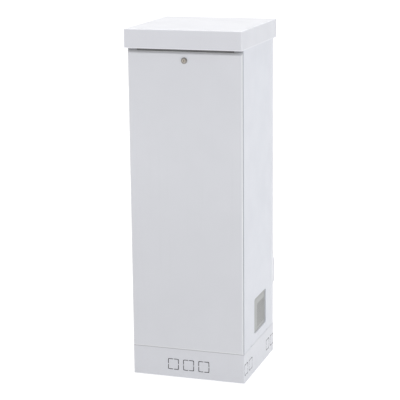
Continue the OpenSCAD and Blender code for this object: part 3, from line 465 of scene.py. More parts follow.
@dataclass(frozen=True)
class Spangle:
    """Hot-dip galvanised sheet: crystal patches that each take the light a little differently."""

    colour: Colour = (0.60, 0.62, 0.64)
    roughness: float = 0.42
    crystals: float = 150.0

    def material(self, name: str) -> bpy.types.Material:
        """Makes the galvanised sheet under that name."""
        s = ShaderSketch(name)
        patch = s.cells(self.crystals)
        tone = s.split(patch.outputs["Color"])[0]
        frost = s.grain(700.0, 4.0, 0.7)
        bloom = s.grain(22.0, 4.0, 0.6)
        tint = s.blend(tone, scaled(self.colour, 0.78), scaled(self.colour, 1.12))
        tint = s.blend(s.spread(bloom, 0.5, 0.8, 0.0, 0.5), tint, ZINC_BLOOM)
        tint = s.blend(s.spread(frost, 0.45, 0.7, 0.0, 0.15), tint, ZINC_FROST)
        rough = s.math("ADD", s.math("MULTIPLY", tone, 0.16), self.roughness - 0.06)
        rough = s.math("ADD", rough, s.spread(bloom, 0.5, 0.8, 0.0, 0.12))
        normal = s.relief([(tone, 0.012 * MM), (frost, 0.006 * MM)])
        return s.surface(tint, rough, normal, Metallic=0.9)


@dataclass(frozen=True)
class TurnedMetal:
    """Machined brass, copper or nickel with turning rings round an axis and a brownish patina."""

    colour: Colour
    patina: Colour
    roughness: float = 0.30
    rings_per_metre: float = 2600.0
    centre: Place = (0.0, 0.0, 0.0)
    slot_shade_depth: float | None = None

    def material(self, name: str) -> bpy.types.Material:
        """Makes the turned metal under that name; where slot_shade_depth is set, what lies that far behind
        the face is black, painted shade in the key slot.
        """
        s = ShaderSketch(name)
        wave = s.node("ShaderNodeTexWave", wave_type="RINGS", rings_direction="Y", wave_profile="SIN")
        s.feed(wave.inputs["Vector"], s.vector("SUBTRACT", s.place, self.centre))
        s.feed(wave.inputs["Scale"], self.rings_per_metre / 20.0 * 3.0)
        s.feed(wave.inputs["Distortion"], 0.6)
        s.feed(wave.inputs["Detail"], 2.0)
        rings = wave.outputs["Fac"]
        cloud = s.grain(260.0, 5.0, 0.65)
        pits = s.grain(1700.0, 3.0, 0.7)
        tint = s.blend(s.spread(cloud, 0.35, 0.7, 0.1, 0.9), self.colour, self.patina)
        bright = scaled(self.colour, 1.25)
        tint = s.blend(s.spread(rings, 0.2, 0.9, 0.0, 0.22), tint, bright)
        tint = s.blend(s.spread(pits, 0.62, 0.75, 0.0, 0.5), tint, scaled(self.patina, 0.35))
        # Painted shade: black inside the key slot.
        if self.slot_shade_depth is not None:
            behind = s.math("SUBTRACT", s.split(s.place)[1], self.centre[1])
            tint = s.blend(s.spread(behind, 0.8 * self.slot_shade_depth, self.slot_shade_depth), tint, SLOT_SHADE)
        rough = s.spread(cloud, 0.3, 0.75, self.roughness - 0.05, self.roughness + 0.16)
        normal = s.relief([(rings, 0.012 * MM), (pits, 0.01 * MM)])
        return s.surface(tint, rough, normal, Metallic=1.0)


@dataclass(frozen=True)
class MouldedPart:
    """Rubber or plastic with a fine moulded grain, bloom and rubbed high spots."""

    colour: Colour
    bloom: Colour
    roughness: float = 0.62
    pores_per_metre: float = 900.0
    depth: float = 0.03 * MM

    def material(self, name: str) -> bpy.types.Material:
        """Makes the moulded material under that name."""
        s = ShaderSketch(name)
        pores = s.cells(self.pores_per_metre).outputs["Distance"]
        cloud = s.grain(60.0, 4.0, 0.6)
        fleck = s.grain(1200.0, 2.0, 0.6)
        tint = s.blend(s.spread(cloud, 0.4, 0.75, 0.0, 0.6), self.colour, self.bloom)
        tint = s.blend(s.spread(pores, 0.0, 0.3, 0.35, 0.0), tint, scaled(self.colour, 0.55))
        tint = s.blend(s.spread(fleck, 0.62, 0.8, 0.0, 0.2), tint, self.bloom)
        rough = s.spread(cloud, 0.3, 0.8, self.roughness - 0.08, self.roughness + 0.12)
        normal = s.relief([(cloud, 0.04 * MM), (pores, self.depth)])
        return s.surface(tint, rough, normal, Metallic=0.0, Specular_IOR_Level=0.4)


@dataclass(frozen=True)
class FibreMat:
    """Non-woven filter fleece: crossing fibres, caught dust and a soft sheen."""

    # Darker than a clean mat: partly the fleece's dusty grey, partly painted shade behind the plate's holes.
    colour: Colour = (0.27, 0.27, 0.26)
    dust: Colour = (0.17, 0.16, 0.14)

    def material(self, name: str) -> bpy.types.Material:
        """Makes the fleece under that name."""
        s = ShaderSketch(name)
        upright = s.grain(900.0, 4.0, 0.7, (1.0, 1.0, 0.08))
        across = s.grain(900.0, 4.0, 0.7, (1.0, 0.08, 1.0))
        fibres = s.math("MAXIMUM", upright, across)
        clumps = s.grain(120.0, 5.0, 0.65)
        tint = s.blend(s.spread(fibres, 0.5, 0.72), scaled(self.colour, 0.62), self.colour)
        tint = s.blend(s.spread(clumps, 0.45, 0.75, 0.0, 0.55), tint, self.dust)
        rough = s.spread(fibres, 0.4, 0.8, 0.95, 0.8)
        normal = s.relief([(clumps, 0.5 * MM), (fibres, 0.2 * MM)])
        return s.surface(tint, rough, normal, Metallic=0.0, Sheen_Weight=0.35, Sheen_Roughness=0.5)


class Paint:
    """The cabinet's coats and metals, each made once."""

    white_tone = (0.768, 0.770, 0.808)
    white = PowderCoat(colour=white_tone)
    # Painted highlight along the cover's edges.
    cover_white = PowderCoat(colour=white_tone, highlight_and_wear_width=5.0 * MM, edge_highlight_gain=1.30)
    # Near-black painted shade on the inner faces and in the knock-out slots; painted shade at the top seam.
    plinth_white = PowderCoat(colour=(0.790, 0.792, 0.834), primer_and_shade_share=1.0, coat_depth=0.3 * MM,
                              primer_and_shade=(0.022, 0.022, 0.023),
                              joints=(JointShade(Axis.Z, True, 4.5 * MM, 0.36),))
    # Painted shade in the gap at the front edge and in the seam along the bottom.
    panel_white = PowderCoat(colour=(0.752, 0.760, 0.812), low_darkening=0.02,
                             joints=(JointShade(Axis.Y, False, 3.5 * MM, 0.30),
                                     JointShade(Axis.Z, False, 2.6 * MM, 0.15, aside=1.0)))
    # Lighter than the other sheets: painted highlight on the returns at the rear edges.
    rear_highlight_white = PowderCoat(colour=(0.850, 0.852, 0.890), primer_and_shade_share=0.6, low_darkening=0.02)
    # Mid grey instead of the white coat: painted shade in the gap under the lid.
    tray_shade_grey = PowderCoat(colour=(0.260, 0.260, 0.266))
    # Painted highlight along the lid's edges.
    lid_white = PowderCoat(colour=(0.760, 0.760, 0.802), dust=0.3, splash=0.0, primer_and_shade_share=1.0,
                           highlight_and_wear_width=5.0 * MM, edge_highlight_gain=1.20)
    # Painted shadow of the top lip and of the front lip on the plate.
    vent_grey = PowderCoat(colour=(0.500, 0.500, 0.492), roughness=0.55, wave=0.05 * MM,
                           joints=(JointShade(Axis.Z, True, 34.0 * MM, 0.24, aside=1.0),
                                   JointShade(Axis.Y, False, 38.0 * MM, 0.18, aside=1.0)))
    zinc = PlatedSteel(colour=(0.62, 0.63, 0.65))
    galvanised = Spangle()
    # Dark zinc: painted shade seen through the seam notches.
    zinc_shade_dark = Spangle(colour=(0.12, 0.12, 0.125))
    rubber = MouldedPart(colour=(0.022, 0.022, 0.023), bloom=(0.055, 0.054, 0.052))
    foam = MouldedPart(colour=(0.030, 0.030, 0.033), bloom=(0.065, 0.065, 0.068), roughness=0.8,
                       pores_per_metre=650.0, depth=0.15 * MM)
    black = MouldedPart(colour=(0.028, 0.028, 0.031), bloom=(0.06, 0.06, 0.062), roughness=0.5)
    orange = MouldedPart(colour=(0.42, 0.10, 0.02), bloom=(0.47, 0.17, 0.07), roughness=0.45)
    sealant = MouldedPart(colour=(0.50, 0.51, 0.53), bloom=(0.58, 0.58, 0.58), roughness=0.5,
                          pores_per_metre=500.0, depth=0.01 * MM)
    copper = TurnedMetal(colour=(0.62, 0.32, 0.19), patina=(0.33, 0.17, 0.10), roughness=0.38)
    brass = TurnedMetal(colour=(0.62, 0.47, 0.22), patina=(0.38, 0.28, 0.14), roughness=0.32)
    fleece = FibreMat()


class Smoother:
    """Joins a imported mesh's split corners and marks its hard edges, as one shared modifier group."""

    hard_angle = math.radians(28.0)
    join_distance = 0.002 * MM

    def __init__(self) -> None:
        """Builds the modifier's node group."""
        tree = bpy.data.node_groups.new("join_and_mark_edges", "GeometryNodeTree")
        tree.interface.new_socket("Geometry", in_out="INPUT", socket_type="NodeSocketGeometry")
        tree.interface.new_socket("Geometry", in_out="OUTPUT", socket_type="NodeSocketGeometry")
        start = tree.nodes.new("NodeGroupInput")
        end = tree.nodes.new("NodeGroupOutput")
        join = tree.nodes.new("GeometryNodeMergeByDistance")
        join.inputs["Distance"].default_value = self.join_distance
        smooth = tree.nodes.new("GeometryNodeSetShadeSmooth")
        hard = tree.nodes.new("GeometryNodeSetShadeSmooth")
        hard.domain = "EDGE"
        hard.inputs["Shade Smooth"].default_value = False
        angle = tree.nodes.new("GeometryNodeInputMeshEdgeAngle")
        over = tree.nodes.new("FunctionNodeCompare")
        over.data_type = "FLOAT"
        over.operation = "GREATER_THAN"
        over.inputs[1].default_value = self.hard_angle
        link = tree.links.new
        link(start.outputs[0], join.inputs["Geometry"])
        link(join.outputs[0], smooth.inputs["Geometry"])
        link(smooth.outputs[0], hard.inputs["Geometry"])
        link(angle.outputs["Unsigned Angle"], over.inputs[0])
        link(over.outputs[0], hard.inputs["Selection"])
        link(hard.outputs[0], end.inputs[0])
        self.tree = tree

    def apply(self, part: bpy.types.Object, edge: Edge) -> None:
        """Adds a part's modifiers: joined corners, rounded edges and even shading.

        Args:
            part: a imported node's object.
            edge: how far its sharp edges are rounded.
        """
        worked = part.data.attributes.get("custom_normal")
        if worked is not None:
            part.data.attributes.remove(worked)
        step = part.modifiers.new("join_and_mark_edges", "NODES")
        step.node_group = self.tree
        if edge is not Edge.NONE:
            bevel = part.modifiers.new("rounded_edges", "BEVEL")
            bevel.width = edge.value
            bevel.segments = 2
            bevel.limit_method = "ANGLE"
            bevel.angle_limit = self.hard_angle
            bevel.use_clamp_overlap = True
            bevel.miter_outer = "MITER_ARC"
            even = part.modifiers.new("even_shading", "WEIGHTED_NORMAL")
            even.mode = "FACE_AREA"
            even.keep_sharp = True


class Workshop:
    """Shared tools of the sub-assemblies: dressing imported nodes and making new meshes."""

    def __init__(self) -> None:
        """Prepares the smoother and an empty shelf of finished materials."""
        self.smoother = Smoother()
        self.shelf: dict[object, bpy.types.Material] = {}

    def finish_named(self, name: str, finish: object) -> bpy.types.Material:
        """Returns a shared finish, made the first time it is asked for.

        Args:
            name: the material's name.
            finish: a finish whose material() takes only a name.

        Returns:
            The material.
        """
        if name not in self.shelf:
            self.shelf[name] = finish.material(name)
        return self.shelf[name]

    def wear(self, part: bpy.types.Object, material: bpy.types.Material) -> None:
        """Puts one material on a mesh, in place of what it had."""
        part.data.materials.clear()
        part.data.materials.append(material)

    def coat(self, node: str, coat: PowderCoat, edge: Edge = Edge.FOLDED) -> None:
        """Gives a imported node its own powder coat.

        Args:
            node: the node's name.
            coat: the coat.
            edge: how far its edges are rounded.
        """
        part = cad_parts[node]
        low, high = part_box(node)
        self.wear(part, coat.material(f"coat_{node}", low, high))
        self.smoother.apply(part, edge)
        LOG.info("%s: powder coat, edges %s", node, edge.name.lower())

    def plate(self, nodes: Sequence[str], name: str, finish: object, edge: Edge = Edge.FINE) -> None:
        """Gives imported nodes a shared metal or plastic.

        Args:
            nodes: the nodes' names.
            name: the shared material's name.
            finish: the finish.
            edge: how far their edges are rounded.
        """
        material = self.finish_named(name, finish)
        for node in nodes:
            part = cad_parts[node]
            self.wear(part, material)
            self.smoother.apply(part, edge)
            LOG.info("%s: %s, edges %s", node, name, edge.name.lower())

    def object_from(self, name: str, mesh: bmesh.types.BMesh, material: bpy.types.Material,
                    slot: str, body: str) -> bpy.types.Object:
        """Turns a finished bmesh into a piece that rides on a body.

        Args:
            name: the piece's name.
            mesh: its geometry, in the shared frame; it is freed.
            material: its material.
            slot: not used.
            body: the body that it rides on.

        Returns:
            The new piece.
        """
        bmesh.ops.recalc_face_normals(mesh, faces=mesh.faces)
        data = bpy.data.meshes.new(name)
        mesh.to_mesh(data)
        mesh.free()
        data.polygons.foreach_set("use_smooth", [True] * len(data.polygons))
        piece = place_in_scene(name, data)
        self.wear(piece, material)
        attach(piece, body)
        LOG.info("%s: made with %d faces, rides on %s", name, len(data.polygons), body)
        return piece


def loft(mesh: bmesh.types.BMesh, rings: Sequence[Sequence[Vector]], closed: bool) -> None:
    """Skins a row of equal point rings with quads.

    Args:
        mesh: the bmesh to add to.
        rings: rings of points, each closed on itself.
        closed: joins the last ring to the first; otherwise both ends are capped.
    """
    rows = [[mesh.verts.new(point) for point in ring] for ring in rings]
    count = len(rows[0])
    pairs = list(zip(rows, rows[1:])) + ([(rows[-1], rows[0])] if closed else [])
    for first, second in pairs:
        for i in range(count):
            j = (i + 1) % count
            mesh.faces.new((first[i], first[j], second[j], second[i]))
    if not closed:
        mesh.faces.new(rows[0])
        mesh.faces.new(list(reversed(rows[-1])))


def round_ring(centre: Vector, radius: float, u: Vector, v: Vector, sides: int = 10) -> list[Vector]:
    """Points of a circle.

    Args:
        centre: its middle.
        radius: its radius.
        u: unit vector towards the first point.
        v: unit vector a quarter turn on.
        sides: number of points.

    Returns:
        The points in order.
    """
    return [centre + radius * (math.cos(a) * u + math.sin(a) * v)
            for a in (math.tau * i / sides for i in range(sides))]


def along(points: Sequence[Vector], step: float) -> list[Vector]:
    """Points every step or less along a polyline.

    Args:
        points: the polyline's corners.
        step: longest distance between two results.

    Returns:
        The points, corners included.
    """
    result = [points[0]]
    for a, b in zip(points, points[1:]):
        count = max(1, math.ceil((b - a).length / step))
        result += [a.lerp(b, k / count) for k in range(1, count + 1)]
    return result


def place_in_scene(name: str, data: bpy.types.ID) -> bpy.types.Object:
    """Makes an object of a mesh, light or camera and links it to the scene."""
    made = bpy.data.objects.new(name, data)
    bpy.context.scene.collection.objects.link(made)
    return made


@dataclass
class Plinth:
    """Welded plinth with its knock-outs and the bolts that carry the body."""

    shop: Workshop
    bead_radius: float = 1.6 * MM
    bead_step: float = 3.0 * MM
    sunk: float = 0.45
    ripple: float = 0.10
    ripple_turn: float = 2.4
    unevenness: float = 0.08
    sheet: float = 1.5 * MM

    def dress(self) -> None:
        """Coats the plinth and plates its fasteners."""
        self.shop.coat("plinth", Paint.plinth_white, Edge.DEBURRED)
        self.shop.plate(["base_bolts", "base_washers", "base_nuts", "gland_screws"], "zinc", Paint.zinc)

    def weld_corners(self) -> None:
        """Lays a welded bead up each inner corner, between the bottom and top flanges."""
        low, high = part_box("plinth")
        mesh = bmesh.new()
        inset = self.sheet + self.sunk * self.bead_radius
        for x in (low.x + inset, high.x - inset):
            for y in (low.y + inset, high.y - inset):
                foot = Vector((x, y, low.z + self.sheet))
                head = Vector((x, y, high.z - self.sheet))
                rings = []
                for k, point in enumerate(along([foot, head], self.bead_step)):
                    swell = (1.0 + self.ripple * math.sin(self.ripple_turn * k)
                             + self.unevenness * noise.noise(point * 300.0))
                    rings.append(round_ring(point, self.bead_radius * swell, Vector(Axis.X.value),
                                            Vector(Axis.Y.value)))
                loft(mesh, rings, closed=False)
        material = self.shop.finish_named("welded_bead", Paint.zinc)
        self.shop.object_from("corner_welds", mesh, material, "paint_body", CABINET)

    def build(self) -> None:
        """Makes the whole plinth."""
        self.dress()
        self.weld_corners()


@dataclass
class Shell:
    """Body sheets between plinth and lid, with the trays and the cable entries in the floor."""

    shop: Workshop

    def build(self) -> None:
        """Coats the outer sheets and dresses the floor's fittings."""
        for node in ("side_panel_left", "side_panel_right"):
            self.shop.coat(node, Paint.panel_white)
        # The top tray's grey coat is painted shade under the lid.
        self.shop.coat("top_tray", Paint.tray_shade_grey)
        # The rear panel's lighter coat is a painted highlight on its returns.
        self.shop.coat("rear_panel", Paint.rear_highlight_white)
        # The base tray's dark zinc is painted shade seen through the seam notches.
        self.shop.plate(["base_tray"], "zinc_shade_dark", Paint.zinc_shade_dark, Edge.DEBURRED)
        self.shop.plate(["gland_plate"], "galvanised", Paint.galvanised, Edge.DEBURRED)
        self.shop.plate(["cable_grommets"], "rubber", Paint.rubber, Edge.DEBURRED)


@dataclass
class Lid:
    """Box lid on its two channels."""

    shop: Workshop

    def build(self) -> None:
        """Coats the lid and dresses what carries it."""
        self.shop.coat("lid", Paint.lid_white)
        self.shop.plate(["lid_channels"], "galvanised", Paint.galvanised)
        self.shop.plate(["lid_gaskets"], "rubber", Paint.rubber)
        self.shop.plate(["lid_bolts", "lid_nuts"], "zinc", Paint.zinc)


@dataclass
class FrontCover:
    """Full-height cover with its stiffener, hooks, pins and the foam seal behind it."""

    shop: Workshop
    side_width: float = 12.0 * MM
    head_width: float = 6.0 * MM
    foam_step: float = 12.0 * MM
    profile_points: int = 16
    squareness: float = 0.72
    side_give: float = 0.05
    crown_give: float = 0.06

    def dress(self) -> None:
        """Coats the cover and plates its hardware."""
        self.shop.coat("front_cover", Paint.cover_white)
        self.shop.plate(["cover_stiffener"], "galvanised", Paint.galvanised, Edge.DEBURRED)
        self.shop.plate(["cover_hooks", "hook_brackets", "hook_pins", "hook_rivets"], "zinc", Paint.zinc)

    def foam_ring(self, point: Vector, across: Vector, width: float, back: float,
                  front: float) -> list[Vector]:
        """One D-shaped section of the foam strip.

        Args:
            point: middle of the strip, on the body's front face.
            across: unit vector over the strip's width.
            width: the strip's width.
            back: Y of the glued face.
            front: Y of the crown.

        Returns:
            The section's points.
        """
        swell = 1.0 - self.side_give * (0.5 + 0.5 * noise.noise(point * 55.0))
        crown = (front - back) * (1.0 - self.crown_give * (0.5 + 0.5 * noise.noise(point * 23.0)))
        ring = []
        for i in range(self.profile_points):
            angle = math.tau * i / self.profile_points
            u, v = math.cos(angle), math.sin(angle)
            square = max(abs(u), abs(v))
            u, v = u / square ** self.squareness, v / square ** self.squareness
            flat = min(1.0, max(-1.0, v))
            depth = back + crown * (0.5 + 0.5 * flat)
            reach = 0.5 * width * swell * max(-1.0, min(1.0, u))
            ring.append(point + across * reach + Vector((0, depth - point.y, 0)))
        return ring

    def make_seal(self) -> None:
        """Makes the foam frame out of four butted strips, inside the seal's CAD space."""
        low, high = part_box("cover_seal")
        mesh = bmesh.new()
        side, head = self.side_width, self.head_width
        x = high.x - side / 2
        y = high.y
        sill_z = low.z + side / 2
        head_z = high.z - head / 2
        runs = [
            (Vector((-x, y, low.z)), Vector((-x, y, high.z)), Vector((1, 0, 0)), side),
            (Vector((x, y, low.z)), Vector((x, y, high.z)), Vector((1, 0, 0)), side),
            (Vector((low.x + side, y, sill_z)), Vector((high.x - side, y, sill_z)), Vector((0, 0, 1)), side),
            (Vector((low.x + side, y, head_z)), Vector((high.x - side, y, head_z)), Vector((0, 0, 1)), head),
        ]
        for start, end, across, width in runs:
            stations = along([start, end], self.foam_step)
            loft(mesh, [self.foam_ring(p, across, width, high.y, low.y) for p in stations], closed=False)
        material = self.shop.finish_named("foam", Paint.foam)
        seal = self.shop.object_from("foam_seal", mesh, material, "foam", CABINET)
        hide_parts("cover_seal")

    def build(self) -> None:
        """Makes the cover and its seal."""
        self.dress()
        self.make_seal()


@dataclass
class CylinderLock:
    """Round lock: turned housing, plug with its key slot, cam and fixings."""

    shop: Workshop
    groove_radius: float = 8.4 * MM
    groove_width: float = 0.5 * MM
    groove_depth: float = 0.35 * MM
    chamfer: float = 0.8 * MM
    lead: float = 0.4 * MM
    bore: float = 6.05 * MM
    head_height: float = 2.5 * MM
    thread_radius: float = 9.0 * MM
    thread_start: float = 2.0 * MM
    thread_pitch: float = 1.5 * MM
    thread_depth: float = 0.55 * MM
    segments: int = 64
    face: TurnedMetal = field(init=False)
    plug_face: TurnedMetal = field(init=False)

    def __post_init__(self) -> None:
        """Centres the turning rings on the lock's axis."""
        low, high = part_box("lock_body")
        centre = (0.5 * (low.x + high.x), low.y, 0.5 * (low.z + high.z))
        self.face = TurnedMetal(colour=(0.40, 0.385, 0.37), patina=(0.22, 0.205, 0.19), roughness=0.34,
                                centre=centre)
        face_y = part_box("lock_plug")[0].y
        # Painted shade in the key slot, from slot_shade_depth behind the plug's face.
        self.plug_face = TurnedMetal(colour=(0.56, 0.51, 0.45), patina=(0.27, 0.245, 0.215), roughness=0.28,
                                     centre=(centre[0], face_y, centre[2]), slot_shade_depth=0.7 * MM)

    def housing_profile(self) -> list[tuple[float, float]]:
        """Half section of the housing.

        Returns:
            (radius, Y) points from the bore's front edge round to its rear edge.
        """
        low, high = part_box("lock_body")
        head = 0.5 * (high.x - low.x)
        sill = low.y + self.head_height
        body = self.thread_radius
        rim = self.groove_radius
        points = [(self.bore, low.y + self.lead), (self.bore + 0.5 * MM, low.y),
                  (rim - self.groove_width, low.y), (rim, low.y + self.groove_depth),
                  (rim + self.groove_width, low.y), (head - self.chamfer, low.y),
                  (head - 0.25 * MM, low.y + 0.3 * MM), (head, low.y + self.chamfer),
                  (head, sill), (body, sill)]
        y = sill + self.thread_start
        while y + self.thread_pitch < high.y - 1.0 * MM:
            points += [(body, y), (body - self.thread_depth, y + 0.5 * self.thread_pitch)]
            y += self.thread_pitch
        points += [(body, y), (body, high.y - self.lead), (body - self.lead, high.y), (self.bore, high.y)]
        return points

    def make_housing(self) -> None:
        """Turns the housing round the lock's axis."""
        x, _, z = self.face.centre
        mesh = bmesh.new()
        rings = []
        for k in range(self.segments):
            angle = math.tau * k / self.segments
            rings.append([Vector((x + r * math.cos(angle), y, z + r * math.sin(angle)))
                          for r, y in self.housing_profile()])
        loft(mesh, rings, closed=True)
        material = self.shop.finish_named("lock_metal", self.face)
        housing = self.shop.object_from("lock_housing", mesh, material, "lock_metal", COVER)
        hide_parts("lock_body")
        edge = housing.modifiers.new("sharp_rims", "EDGE_SPLIT")
        edge.split_angle = math.radians(30.0)

    def build(self) -> None:
        """Makes the housing and dresses the rest of the lock."""
        self.make_housing()
        self.shop.plate(["lock_plug"], "plug_metal", self.plug_face, Edge.DEBURRED)
        self.shop.plate(["lock_nut", "lock_cam", "cam_screw"], "zinc", Paint.zinc, Edge.DEBURRED)


@dataclass
class SideVent:
    """Perforated vent plate with its filter mat, retainer and studs."""

    shop: Workshop
    across: int = 52
    upright: int = 46
    rim: float = 0.06
    pinched: float = 0.72
    unevenness: float = 0.05

    def mat_thickness(self, u: float, v: float, place: Vector) -> float:
        """Share of the mat's full thickness at a point.

        Args:
            u: -1 to 1 over its width.
            v: -1 to 1 over its height.
            place: the point, for the fleece's unevenness.

        Returns:
            A share up to 1.
        """
        edge = min(1.0 - abs(u), 1.0 - abs(v))
        full = min(1.0, edge / self.rim)
        pinch = self.pinched + (1.0 - self.pinched) * math.sqrt(max(0.0, 1.0 - (1.0 - full) ** 2))
        return pinch * (1.0 - self.unevenness + self.unevenness * noise.noise(place * 90.0))

    def make_mat(self) -> None:
        """Makes the fleece: flat against the plate, uneven and pinched at the rim on its inner side."""
        low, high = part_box("vent_filter")
        mesh = bmesh.new()
        sheets = []
        for outer in (True, False):
            rows = []
            for j in range(self.upright + 1):
                row = []
                for i in range(self.across + 1):
                    u = 2.0 * i / self.across - 1.0
                    v = 2.0 * j / self.upright - 1.0
                    y = low.y + (high.y - low.y) * (0.5 + 0.5 * u)
                    z = low.z + (high.z - low.z) * (0.5 + 0.5 * v)
                    share = self.mat_thickness(u, v, Vector((0.0, y, z)))
                    x = high.x - 0.1 * MM if outer else high.x - (high.x - low.x) * share
                    row.append(mesh.verts.new((x, y, z)))
                rows.append(row)
            sheets.append(rows)
        for rows in sheets:
            for a, b in zip(rows, rows[1:]):
                for i in range(self.across):
                    mesh.faces.new((a[i], a[i + 1], b[i + 1], b[i]))
        front, back = sheets
        for a, b in ((front[0], back[0]), (front[-1], back[-1])):
            for i in range(self.across):
                mesh.faces.new((a[i], a[i + 1], b[i + 1], b[i]))
        for column in (0, -1):
            for j in range(self.upright):
                mesh.faces.new((front[j][column], front[j + 1][column], back[j + 1][column], back[j][column]))
        material = self.shop.finish_named("fleece", Paint.fleece)
        mat = self.shop.object_from("filter_mat", mesh, material, "filter", CABINET)
        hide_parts("vent_filter")

    def build(self) -> None:
        """Makes the mat and dresses the plate, retainer and studs."""
        self.shop.coat("vent_plate", Paint.vent_grey, Edge.NONE)
        self.make_mat()
        self.shop.plate(["vent_retainer"], "galvanised", Paint.galvanised)
        self.shop.plate(["vent_studs", "vent_nuts"], "zinc", Paint.zinc)


@dataclass
class RearHood:
    """Rain hood on the back, with its rivets and a bead of sealant along its flange."""

    shop: Workshop
    bead: float = 0.9 * MM
    step: float = 6.0 * MM
    end_gap: float = 1.0 * MM
    lift: float = 0.3 * MM
    unevenness: float = 0.18

    def make_sealant(self) -> None:
        """Runs a bead along the flange's upper edge."""
        low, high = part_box("rear_hood")
        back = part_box("rear_panel")[1].y
        mesh = bmesh.new()
        start = Vector((low.x + self.end_gap, back + self.lift, high.z))
        end = Vector((high.x - self.end_gap, back + self.lift, high.z))
        rings = []
        for point in along([start, end], self.step):
            radius = self.bead * (1.0 + self.unevenness * noise.noise(point * 120.0))
            rings.append(round_ring(point, radius, Vector(Axis.Y.value), Vector(Axis.Z.value)))
        loft(mesh, rings, closed=False)
        material = self.shop.finish_named("sealant", Paint.sealant)
        self.shop.object_from("hood_sealant", mesh, material, "rubber", CABINET)

    def build(self) -> None:
        """Dresses the hood and its rivets and lays the bead."""
        self.shop.coat("rear_hood", Paint.white, Edge.DEBURRED)
        self.shop.plate(["hood_rivets"], "zinc", Paint.zinc)
        self.make_sealant()


@dataclass
class FitOut:
    """Mounting plate, rails, cable clamps and earth bar inside the body."""

    shop: Workshop

    def build(self) -> None:
        """Dresses every fitting behind the cover."""
        plate = self.shop.plate
        plate(["mounting_plate", "cable_rail"], "galvanised", Paint.galvanised, Edge.DEBURRED)
        plate(["plate_studs", "plate_spacers", "plate_nuts", "rail_screws", "cable_rail_spacers",
               "cable_rail_studs", "cable_rail_nuts", "clamp_bolts", "din_rail_upper", "din_rail_lower"],
              "zinc", Paint.zinc)
        plate(["cable_clamps"], "black_plastic", Paint.black, Edge.DEBURRED)
        plate(["earth_bar"], "copper", Paint.copper, Edge.DEBURRED)
        plate(["earth_spacers"], "orange_plastic", Paint.orange, Edge.DEBURRED)
        plate(["earth_screws"], "brass", Paint.brass)


@dataclass(frozen=True)
class SoftSun:
    """Wide, distant light from one direction, so that the floor stays even."""

    name: str
    toward: Place
    power: float
    spread: float
    tint: Colour

    def hang(self) -> None:
        """Adds the light, pointing from its side towards the cabinet."""
        data = bpy.data.lights.new(self.name, "SUN")
        data.energy = self.power * math.pi
        data.angle = math.radians(self.spread)
        data.color = self.tint
        made = place_in_scene(self.name, data)
        made.rotation_mode = "QUATERNION"
        made.rotation_quaternion = Vector(self.toward).to_track_quat("Z", "Y")


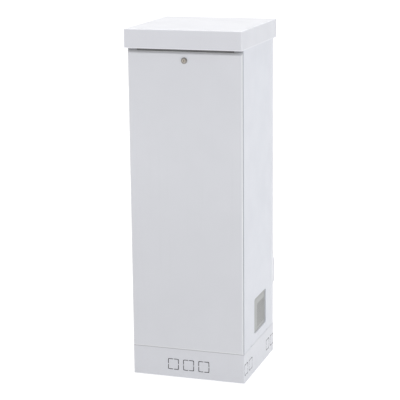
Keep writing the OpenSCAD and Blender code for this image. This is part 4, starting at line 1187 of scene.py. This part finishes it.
@dataclass
class Studio:
    """Pale floor, white surroundings, soft lights and the camera."""

    camera_place: Place = (1.46195, -4.52058, 1.6802)
    azimuth: float = 18.082
    elevation: float = 12.948
    roll: float = -0.565
    focal: float = 126.26
    floor_half: float = 40.0
    floor_depth: float = 0.4 * MM
    earth_inset: float = 4.0 * MM
    near_glow: float = 0.86
    far_glow: float = 1.0
    glow_centre: tuple[float, float] = (-0.2, -0.7)
    glow_radius: float = 1.8
    floor_tone: float = 0.16
    fill: float = 0.455
    suns: tuple[SoftSun, ...] = (
        SoftSun("key", (0.85, -0.45, 0.62), 0.13, 40.0, (0.82, 0.965, 1.10)),
        SoftSun("overhead", (0.0, 0.0, 1.0), 0.84, 14.0, (1.0, 1.0, 0.97)),
    )

    def floor_material(self) -> bpy.types.Material:
        """Makes the pale floor's finish, with bare earth inside the plinth.

        Returns:
            The finished material.
        """
        s = ShaderSketch("pale_floor")
        low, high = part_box("plinth")
        middle = 0.5 * (low + high)
        x, y, _ = s.split(s.vector("ABSOLUTE", s.vector("SUBTRACT", s.place, tuple(middle)), ZERO))
        across = s.math("LESS_THAN", x, high.x - middle.x - self.earth_inset)
        along_side = s.math("LESS_THAN", y, high.y - middle.y - self.earth_inset)
        under = s.math("MULTIPLY", across, along_side)
        cloud = s.grain(3.0, 3.0)
        pale = s.blend(cloud, 3 * (self.floor_tone,), 3 * (self.floor_tone + 0.02,))
        tint = s.blend(under, pale, BARE_EARTH)
        rough = s.spread(cloud, 0.3, 0.7, 0.85, 0.95)
        normal = s.relief([(s.grain(300.0, 2.0), 0.01 * MM)])
        # The floor glows and lights the cabinet; the glow is dimmer near glow_centre, which darkens the
        # cabinet's lower parts, and there is none under the plinth.
        away = s.node("ShaderNodeVectorMath", operation="DISTANCE")
        s.feed(away.inputs[0], s.place)
        s.feed(away.inputs[1], (*self.glow_centre, 0.0))
        glow = s.spread(away.outputs["Value"], 0.0, self.glow_radius, self.near_glow, self.far_glow)
        glow = s.math("MULTIPLY", glow, s.math("SUBTRACT", 1.0, under))
        return s.surface(tint, rough, normal, Emission_Strength=glow, Specular_IOR_Level=0.1,
                         Emission_Color=(1.0, 1.0, 1.0, 1.0))

    def lay_floor(self) -> None:
        """Lays one large pale floor, a fraction of a millimetre under the plinth."""
        mesh = bmesh.new()
        half = self.floor_half
        ring = ((-half, -half), (half, -half), (half, half), (-half, half))
        mesh.faces.new([mesh.verts.new((x, y, -self.floor_depth)) for x, y in ring])
        data = bpy.data.meshes.new("floor")
        mesh.to_mesh(data)
        mesh.free()
        data.materials.append(self.floor_material())
        place_in_scene("floor", data)

    def surround(self) -> None:
        """Sets plain white surroundings as the fill light."""
        world = bpy.data.worlds.new("white_room")
        bpy.context.scene.world = world
        world.use_nodes = True
        back = world.node_tree.nodes["Background"]
        back.inputs["Color"].default_value = (1.0, 1.0, 1.0, 1.0)
        back.inputs["Strength"].default_value = self.fill

    def set_camera(self) -> None:
        """Places the camera by its azimuth, elevation and roll."""
        az, el, roll = (math.radians(v) for v in (self.azimuth, self.elevation, self.roll))
        ahead = Vector((-math.sin(az) * math.cos(el), math.cos(az) * math.cos(el), -math.sin(el)))
        right = ahead.cross(Vector((0, 0, 1))).normalized()
        up = right.cross(ahead)
        turned_right = math.cos(roll) * right + math.sin(roll) * up
        turned_up = -math.sin(roll) * right + math.cos(roll) * up
        data = bpy.data.cameras.new("camera")
        data.sensor_width = 36.0
        data.lens = self.focal
        data.clip_start, data.clip_end = 0.05, 120.0
        camera = place_in_scene("camera", data)
        turn = Matrix((turned_right, turned_up, -ahead)).transposed().to_4x4()
        camera.matrix_world = Matrix.Translation(Vector(self.camera_place)) @ turn
        bpy.context.scene.camera = camera

    def build(self) -> None:
        """Sets the whole studio up."""
        self.lay_floor()
        self.surround()
        for sun in self.suns:
            sun.hang()
        self.set_camera()
        view = bpy.context.scene.view_settings
        view.view_transform = "Standard"
        view.look = "None"
        LOG.info("studio: floor, surroundings, %d suns and the camera", len(self.suns))


def main() -> None:
    """Builds each sub-assembly in order and reports it."""
    logging.basicConfig(level=logging.INFO, format="%(name)s %(message)s", stream=sys.stdout)
    shop = Workshop()
    for part in (Plinth(shop), Shell(shop), Lid(shop), FrontCover(shop), CylinderLock(shop), SideVent(shop),
                 RearHood(shop), FitOut(shop)):
        part.build()
        LOG.info("%s done", type(part).__name__)
    Studio().build()


if __name__ == "__main__":
    main()
